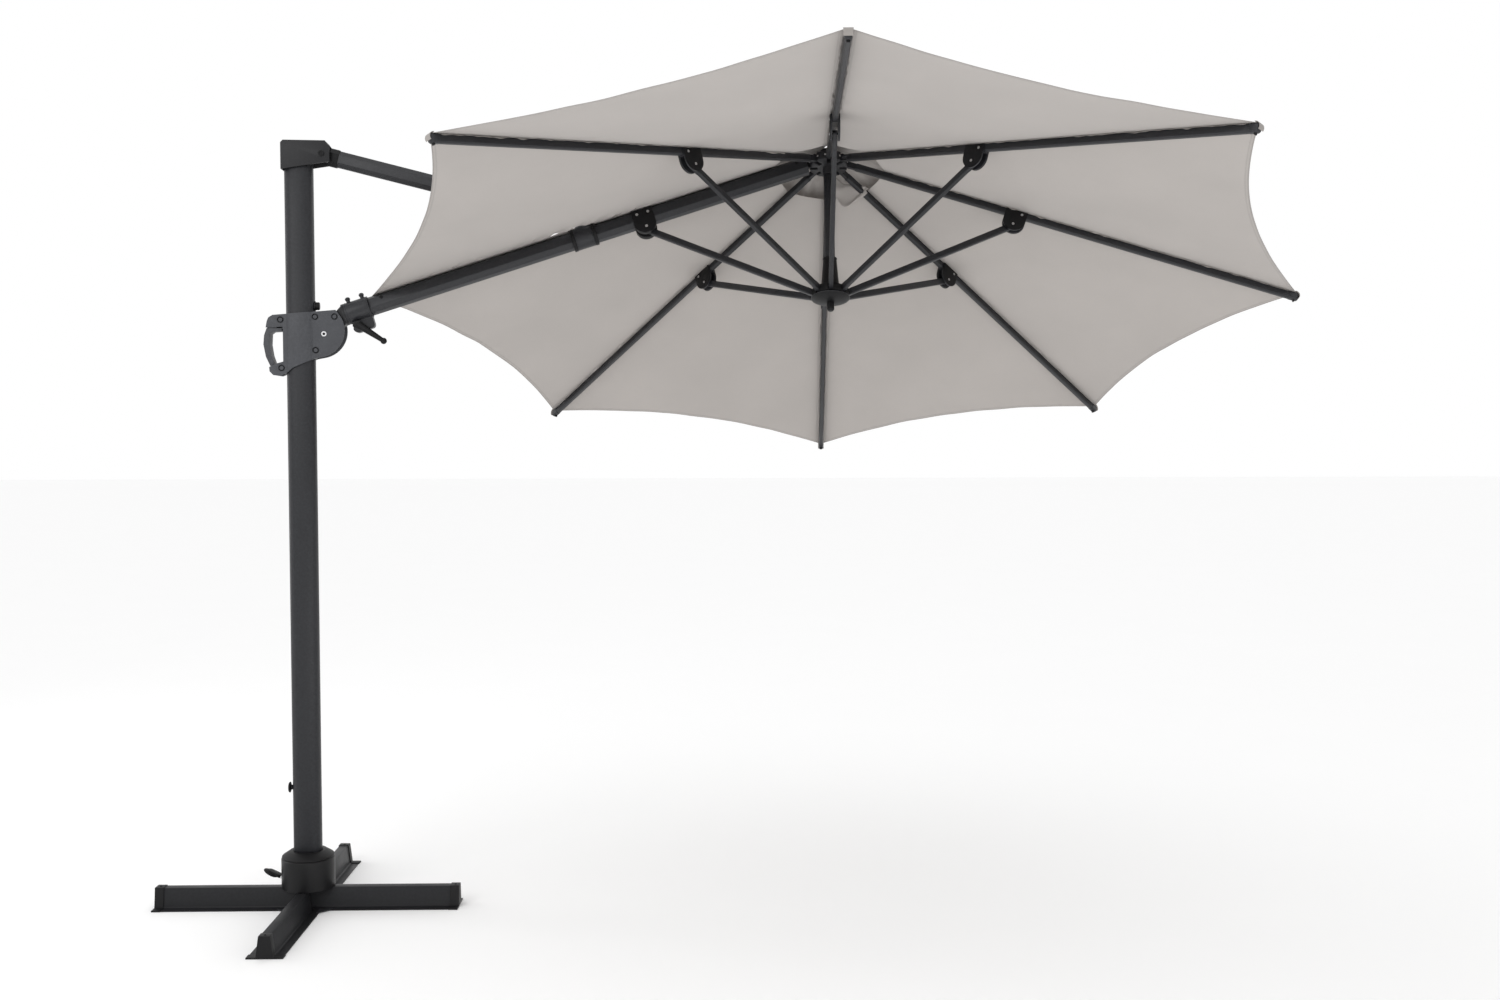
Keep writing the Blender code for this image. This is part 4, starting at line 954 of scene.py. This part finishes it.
ARM_PULL = 0.0060  # depth of the wrinkles beside the arm
RIB_PULL = 0.0016
BROAD_WAVE = 0.0045  # depth of the slow waves in the cloth
SMALL_FOLD = 0.0013
TAUT_WIDTH = 0.035  # the cloth lies flat this near a spoke
FLUTTER = 0.004  # how far the hem waves between spokes


def panel_point(k, share, out):
    """A point of the cover: share runs from the spoke to the panel's middle, out from the vent to the hem."""
    sizes = bpy.context.scene.parasol
    side = 1 if share >= 0 else -1
    t = abs(share)
    hem = RIB_REACH * (1 - sizes.scallop * 4 * t * (1 - t))
    radius = sizes.vent_radius + (hem - sizes.vent_radius) * out
    point = ridge(k, radius).lerp(ridge(k + side, radius), t)
    width = radius * math.tau / SPOKES * t
    free = 1.0 - math.exp(-((width / TAUT_WIDTH) ** 2))
    hang = sizes.sag * math.sin(math.pi * t) ** 1.3 * math.sin(math.pi * min(1.0, 0.12 + out * 0.80))
    ripple = waver(point.x * 2.2, point.y * 2.2, 3.1) * BROAD_WAVE
    fold = waver(point.x * 7.0, point.y * 7.0, 8.7) * SMALL_FOLD
    beside = math.exp(-(((width - 0.045) / 0.040) ** 2))
    depth = ARM_PULL if k % SPOKES == ARM_SPOKE else RIB_PULL
    pull = math.sin(radius * 95.0 + width * 60.0 + 5.0 * waver(radius * 3.0, k * 2.3, side))
    fold += pull * depth * beside * (0.5 + waver(radius * 4.0, k * 5.1, side * 2.0))
    flutter = math.exp(-(((1 - out) / 0.05) ** 2)) * math.sin(math.pi * t) * FLUTTER
    edge = waver(point.x * 9.0, point.y * 9.0, 1.7) * flutter
    slack = (ripple + fold) * free * math.sin(math.pi * min(1.0, out + 0.05)) * 0.9
    return point + UP * (slack - hang + edge), radius, hem


def woven(name, points, cloth_map):
    """A sheet from rows of points, with the place of each on the flat cloth in metres."""
    shape = bmesh.new()
    cloth = shape.loops.layers.uv.new("cloth")
    grid = [[shape.verts.new(point) for point in row] for row in points]
    for j in range(len(points) - 1):
        for i in range(len(points[0]) - 1):
            corners = ((j, i), (j + 1, i), (j + 1, i + 1), (j, i + 1))
            face = shape.faces.new([grid[row][step] for row, step in corners])
            face.smooth = True
            for loop, (row, step) in zip(face.loops, corners):
                loop[cloth].uv = cloth_map[row][step]
    mesh = bpy.data.meshes.new(name)
    shape.to_mesh(mesh)
    shape.free()
    return add(name, mesh)


def sector(k, across=26, rows=64):
    """The cover from the middle of one panel, over its spoke, to the middle of the next."""
    shares = [0.5 * math.copysign(abs(i / across) ** 1.5, i) for i in range(-across, across + 1)]
    points, cloth_map = [], []
    for j in range(rows + 1):
        made = [panel_point(k, share, j / rows) for share in shares]
        points.append([point for point, radius, hem in made])
        cloth_map.append([(share * radius * math.tau / SPOKES, hem - radius)
                          for share, (point, radius, hem) in zip(shares, made)])
    return woven(f"canvas_sector_{k}", points, cloth_map)


def thicken(obj, thickness):
    return with_modifier(obj, "SOLIDIFY", thickness=thickness, offset=1.0, use_rim=True)


def strip(name, rows, thickness):
    """A small sheet from rows of points, thickened, whose cloth map keeps clear of hems and seams."""
    made = woven(name, rows, [[(0.2 + point.x, 0.3 + point.y) for point in row] for row in rows])
    return thicken(made, thickness)


POCKET_FABRIC = 0.0008
LOOSE_FABRIC = 0.0009
POCKET_START = 0.215  # from the pole
POCKET_SHORT = 0.245  # the pocket's length is the cover's reach less this
POCKET_HALF = 0.0105  # half its width, on a rib
ARM_POCKET_HALF = 0.027
POCKET_WAVE = 0.0060  # how far its loose edges wave
POCKET_DROOP = 0.0065


def pocket(k):
    """The gathered sleeve between a spoke and the cover, with a loose wavy edge on both sides."""
    half = ARM_POCKET_HALF if k == ARM_SPOKE else POCKET_HALF
    rows, steps = [], 150
    for j in range(steps + 1):
        radius = POCKET_START + (RIB_REACH - POCKET_SHORT) * j / steps
        ease = math.sin(math.pi * (j / steps)) ** 0.5
        row = []
        for i in range(-5, 6):
            side = i / 5
            wave = waver(radius * 22.0, 4.0 * math.copysign(1, i), k * 3.7)
            reach = half + POCKET_WAVE * ease * (0.7 + wave)
            droop = POCKET_DROOP * abs(side) ** 3 * (0.7 + waver(radius * 34.0, i, k * 1.9))
            row.append(ridge(k, radius) + ALONG[k] * side * reach + UP * (-0.0012 - droop))
        rows.append(row)
    return strip(f"rib_pocket_{k}", rows, POCKET_FABRIC)


POUCH_DEEP = 0.0140  # how far the pouch reaches round the tip
POUCH_TALL = 0.0152
POUCH_HALF = 0.0118


def pouch(k):
    """The cloth that folds over a rib's tip and holds the cover taut."""
    length = (RIB_REACH - PIN_RADIUS) / math.cos(SLOPE)
    rows = []
    for j in range(11):
        bend = math.radians(100 - 130 * j / 10)
        x = length - 0.0100 + POUCH_DEEP * math.cos(bend)
        z = POUCH_TALL * math.sin(bend) * (1.0 if bend > 0 else 0.7)
        rows.append([RIB[k] @ Vector((x, POUCH_HALF * side / 4, z)) for side in range(-4, 5)])
    return strip(f"tip_pouch_{k}", rows, LOOSE_FABRIC)


SLIT = (0.150, 0.074, 0.30)  # the hole in the cover for the strut's collar
SLIT_CORNER = 0.030
SLIT_AHEAD = 0.022  # of the strut's end, towards the hem


def cut_slit(sheet):
    """Cut the round-cornered hole that the strut's collar comes through."""
    cutter = block("slit", SLIT)
    pick(cutter, edges=lambda c, d: abs(d.z) > 0.9)
    bpy.ops.mesh.bevel(offset=SLIT_CORNER, segments=8)
    done(cutter)
    hole_at = -(STRUT_END - APEX).dot(OUT[0])
    cutter.data.transform(CANOPY @ move(-hole_at - SLIT_AHEAD, 0, -hole_at * math.tan(SLOPE)))
    with_modifier(sheet, "BOOLEAN", operation="DIFFERENCE", object=cutter)
    drop(cutter)


def make_cover():
    sizes = bpy.context.scene.parasol
    for k in range(SPOKES):
        sheet = thicken(sector(k), sizes.fabric)
        if k == ARM_SPOKE:
            cut_slit(sheet)
        smooth(sheet, 50)
        dress(sheet, "canvas", rib_body(k))
        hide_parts(f"cover_sector_{k}")
        extras = [pocket(k)] if k == ARM_SPOKE else [pocket(k), pouch(k)]
        for extra in extras:
            dress(extra, "canvas", rib_body(k))
        for piece in (sheet, *extras):
            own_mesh(piece)
    make_vent(sizes)


CAP_TOP = 0.046  # the vent cap's height over the apex
CAP_FALL = 0.30  # how much it drops on the way out
CAP_EYE = 0.012  # the opening at its middle


def vent_cap(sizes, around=192, out=16):
    """The cap over the vent: eight slack gores with a gathered rim."""
    rows = []
    for j in range(out + 1):
        share = j / out
        row = []
        for i in range(around + 1):
            angle = math.tau * i / around
            gore = (angle * SPOKES / math.tau) % 1.0
            chord = math.cos(math.pi / SPOKES) / math.cos((gore - 0.5) * math.tau / SPOKES)
            radius = CAP_EYE + (sizes.cap_radius * 0.995 * (chord ** share) - CAP_EYE) * share
            slack = math.sin(math.pi * gore) ** 2 * 0.012 * share
            gathers = math.sin(angle * 19 + 2.3 * math.sin(angle * 3)) + 0.6 * math.sin(angle * 31 + 1.1)
            ripple = gathers * sizes.pleat * 0.5 * share ** 1.5
            height = CAP_TOP - radius * CAP_FALL - slack + ripple
            row.append(CANOPY @ Vector((radius * math.cos(angle), radius * math.sin(angle), height)))
        rows.append(row)
    flat = [[(0.2 + point.x, 0.3 + point.y) for point in row] for row in rows]
    cap = alone(woven("canvas_vent_cap", rows, flat))
    bpy.ops.object.mode_set(mode="EDIT")
    bpy.ops.mesh.select_all(action="SELECT")
    bpy.ops.mesh.remove_doubles(threshold=0.0001)
    bpy.ops.object.mode_set(mode="OBJECT")
    smooth(thicken(cap, sizes.fabric), 60)
    return cap


def vent_flap(sizes, out=16, along=12):
    """The loose cloth that hangs under the vent between spokes 1 and 2."""
    down = CANOPY.inverted().to_3x3() @ Vector((0, 0, -1))
    rows = []
    for j in range(out + 1):
        t = j / out
        drape = sizes.flap_length * math.sin(math.pi * min(1.0, 0.18 + t * 0.78)) ** 0.8
        row = []
        for i in range(along + 1):
            s = i / along
            angle = math.radians(76 - 38 * t)
            radius = 0.070 + 0.100 * t + 0.006 * math.sin(s * 8 + t * 5)
            top = Vector((radius * math.cos(angle), radius * math.sin(angle), -0.006 - 0.25 * radius))
            wave = Vector((0, 0, 0.004 * math.sin(s * 6 + t * 11)))
            row.append(CANOPY @ (top + down * drape * s + wave))
        rows.append(row)
    return strip("vent_flap", rows, LOOSE_FABRIC)


def make_vent(sizes):
    cap = dress(vent_cap(sizes), "canvas", "hub")
    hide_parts("vent_cap")
    flap = dress(vent_flap(sizes), "canvas", "hub")
    for piece in (cap, flap):
        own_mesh(piece)


# ---- stage ----
def soft_light(name, place, target, size, power):
    """A rectangular lamp at a place, turned towards a target."""
    data = bpy.data.lights.new(name, "AREA")
    data.shape = "RECTANGLE"
    data.size, data.size_y = size
    data.energy = power
    made = add(name, data)
    made.location = place
    made.rotation_euler = (Vector(target) - Vector(place)).to_track_quat("-Z", "Y").to_euler()


CAMERA_PLACE = (1.0302, -4.9805, 1.5875)
CAMERA_TURN = (87.23, -0.035, -5.06)  # degrees
LENS = 35.66  # millimetres, on a 36 mm sensor


def make_stage():
    world = bpy.context.scene.world or bpy.data.worlds.new("studio")
    bpy.context.scene.world = world
    world.use_nodes = True
    back = world.node_tree.nodes["Background"]
    back.inputs["Color"].default_value = (1.0, 1.0, 1.0, 1.0)
    back.inputs["Strength"].default_value = 1.0
    bpy.context.scene.view_settings.view_transform = "Standard"
    floor = start("studio_floor", bpy.ops.mesh.primitive_plane_add, size=60.0, location=(0, 12, 0))
    done(floor)
    made, tree, shader = blank("pale_floor")
    speck = noisy(tree, spot_of(tree), Scale=2.0, Detail=2.0)
    wire(tree, mixed(tree, speck, (0.955, 0.955, 0.955), (0.965, 0.965, 0.965)), shader.inputs["Base Color"])
    shader.inputs["Roughness"].default_value = 0.9
    shader.inputs["Specular IOR Level"].default_value = 0.1
    floor.data.materials.append(made)
    soft_light("key_panel", (-2.2, -4.4, 3.6), (0.6, 0, 1.4), (2.6, 2.6), 60)
    soft_light("fill_panel", (3.6, -4.2, 0.5), (1.6, 0, 2.3), (3.0, 1.2), 6)
    soft_light("under_panel", (1.6, -1.6, 0.05), (1.7, 0.1, 2.4), (3.0, 2.0), 18)
    soft_light("side_panel", (-3.6, 1.0, 1.8), (0, 0, 1.4), (1.0, 3.0), 30)
    data = bpy.data.cameras.new("camera")
    data.lens, data.sensor_width = LENS, 36.0
    camera = add("camera", data)
    camera.location = CAMERA_PLACE
    camera.rotation_euler = tuple(math.radians(angle) for angle in CAMERA_TURN)
    bpy.context.scene.camera = camera


# ---- operators and panel ----
class PARASOL_OT_stage(bpy.types.Operator):
    """Add the floor, the soft lights and the camera"""

    bl_idname = "parasol.stage"
    bl_label = "Stage"
    bl_options = {"REGISTER", "UNDO"}

    def execute(self, context):
        make_stage()
        return {"FINISHED"}


class PARASOL_OT_base(bpy.types.Operator):
    """Finish the cross, its caps, the housing and the foot pedal"""

    bl_idname = "parasol.base"
    bl_label = "Base"
    bl_options = {"REGISTER", "UNDO"}

    def execute(self, context):
        make_base()
        return {"FINISHED"}


class PARASOL_OT_mast(bpy.types.Operator):
    """Finish the mast, its head, stop and knob"""

    bl_idname = "parasol.mast"
    bl_label = "Mast"
    bl_options = {"REGISTER", "UNDO"}

    def execute(self, context):
        make_mast()
        return {"FINISHED"}


class PARASOL_OT_carriage(bpy.types.Operator):
    """Finish the sliding carriage and its squeeze grip"""

    bl_idname = "parasol.carriage"
    bl_label = "Carriage"
    bl_options = {"REGISTER", "UNDO"}

    def execute(self, context):
        make_carriage()
        return {"FINISHED"}


class PARASOL_OT_knuckle(bpy.types.Operator):
    """Finish the arm's knuckle, clamp, lever and collar"""

    bl_idname = "parasol.knuckle"
    bl_label = "Knuckle"
    bl_options = {"REGISTER", "UNDO"}

    def execute(self, context):
        make_knuckle()
        return {"FINISHED"}


class PARASOL_OT_strut(bpy.types.Operator):
    """Finish the upper strut and its end caps"""

    bl_idname = "parasol.strut"
    bl_label = "Strut"
    bl_options = {"REGISTER", "UNDO"}

    def execute(self, context):
        make_strut()
        return {"FINISHED"}


class PARASOL_OT_arm(bpy.types.Operator):
    """Finish the arm with its rings and bracket"""

    bl_idname = "parasol.arm"
    bl_label = "Arm"
    bl_options = {"REGISTER", "UNDO"}

    def execute(self, context):
        make_arm()
        return {"FINISHED"}


class PARASOL_OT_hub(bpy.types.Operator):
    """Finish the hub, the pole and the runner"""

    bl_idname = "parasol.hub"
    bl_label = "Hub"
    bl_options = {"REGISTER", "UNDO"}

    def execute(self, context):
        make_hub()
        return {"FINISHED"}


class PARASOL_OT_spokes(bpy.types.Operator):
    """Finish the ribs and stays with brackets, rivets and tips"""

    bl_idname = "parasol.spokes"
    bl_label = "Spokes"
    bl_options = {"REGISTER", "UNDO"}

    def execute(self, context):
        make_spokes()
        return {"FINISHED"}


class PARASOL_OT_cover(bpy.types.Operator):
    """Sew the canvas cover, its pockets and its vent cap"""

    bl_idname = "parasol.cover"
    bl_label = "Cover"
    bl_options = {"REGISTER", "UNDO"}

    def execute(self, context):
        make_cover()
        return {"FINISHED"}


OPERATORS = [PARASOL_OT_stage, PARASOL_OT_base, PARASOL_OT_mast, PARASOL_OT_carriage,
             PARASOL_OT_knuckle, PARASOL_OT_strut, PARASOL_OT_arm, PARASOL_OT_hub,
             PARASOL_OT_spokes, PARASOL_OT_cover]


class PARASOL_PT_panel(bpy.types.Panel):
    """The parasol's sizes, colours and steps"""

    bl_idname = "PARASOL_PT_panel"
    bl_label = "Cantilever Parasol"
    bl_space_type = "VIEW_3D"
    bl_region_type = "UI"
    bl_category = "Parasol"

    def draw(self, context):
        for name in ParasolSizes.__annotations__:
            self.layout.prop(context.scene.parasol, name)
        for name in ParasolColours.__annotations__:
            self.layout.prop(context.scene.parasol_colours, name)
        for made in OPERATORS:
            self.layout.operator(made.bl_idname)


CLASSES = [ParasolSizes, ParasolColours, *OPERATORS, PARASOL_PT_panel]


def register():
    for made in CLASSES:
        bpy.utils.register_class(made)
    bpy.types.Scene.parasol = bpy.props.PointerProperty(type=ParasolSizes)
    bpy.types.Scene.parasol_colours = bpy.props.PointerProperty(type=ParasolColours)


def unregister():
    del bpy.types.Scene.parasol
    del bpy.types.Scene.parasol_colours
    for made in reversed(CLASSES):
        bpy.utils.unregister_class(made)


def main():
    register()
    bpy.ops.parasol.stage()
    bpy.ops.parasol.base()
    bpy.ops.parasol.mast()
    bpy.ops.parasol.carriage()
    bpy.ops.parasol.knuckle()
    bpy.ops.parasol.strut()
    bpy.ops.parasol.arm()
    bpy.ops.parasol.hub()
    bpy.ops.parasol.spokes()
    bpy.ops.parasol.cover()


if __name__ == "__main__":
    main()
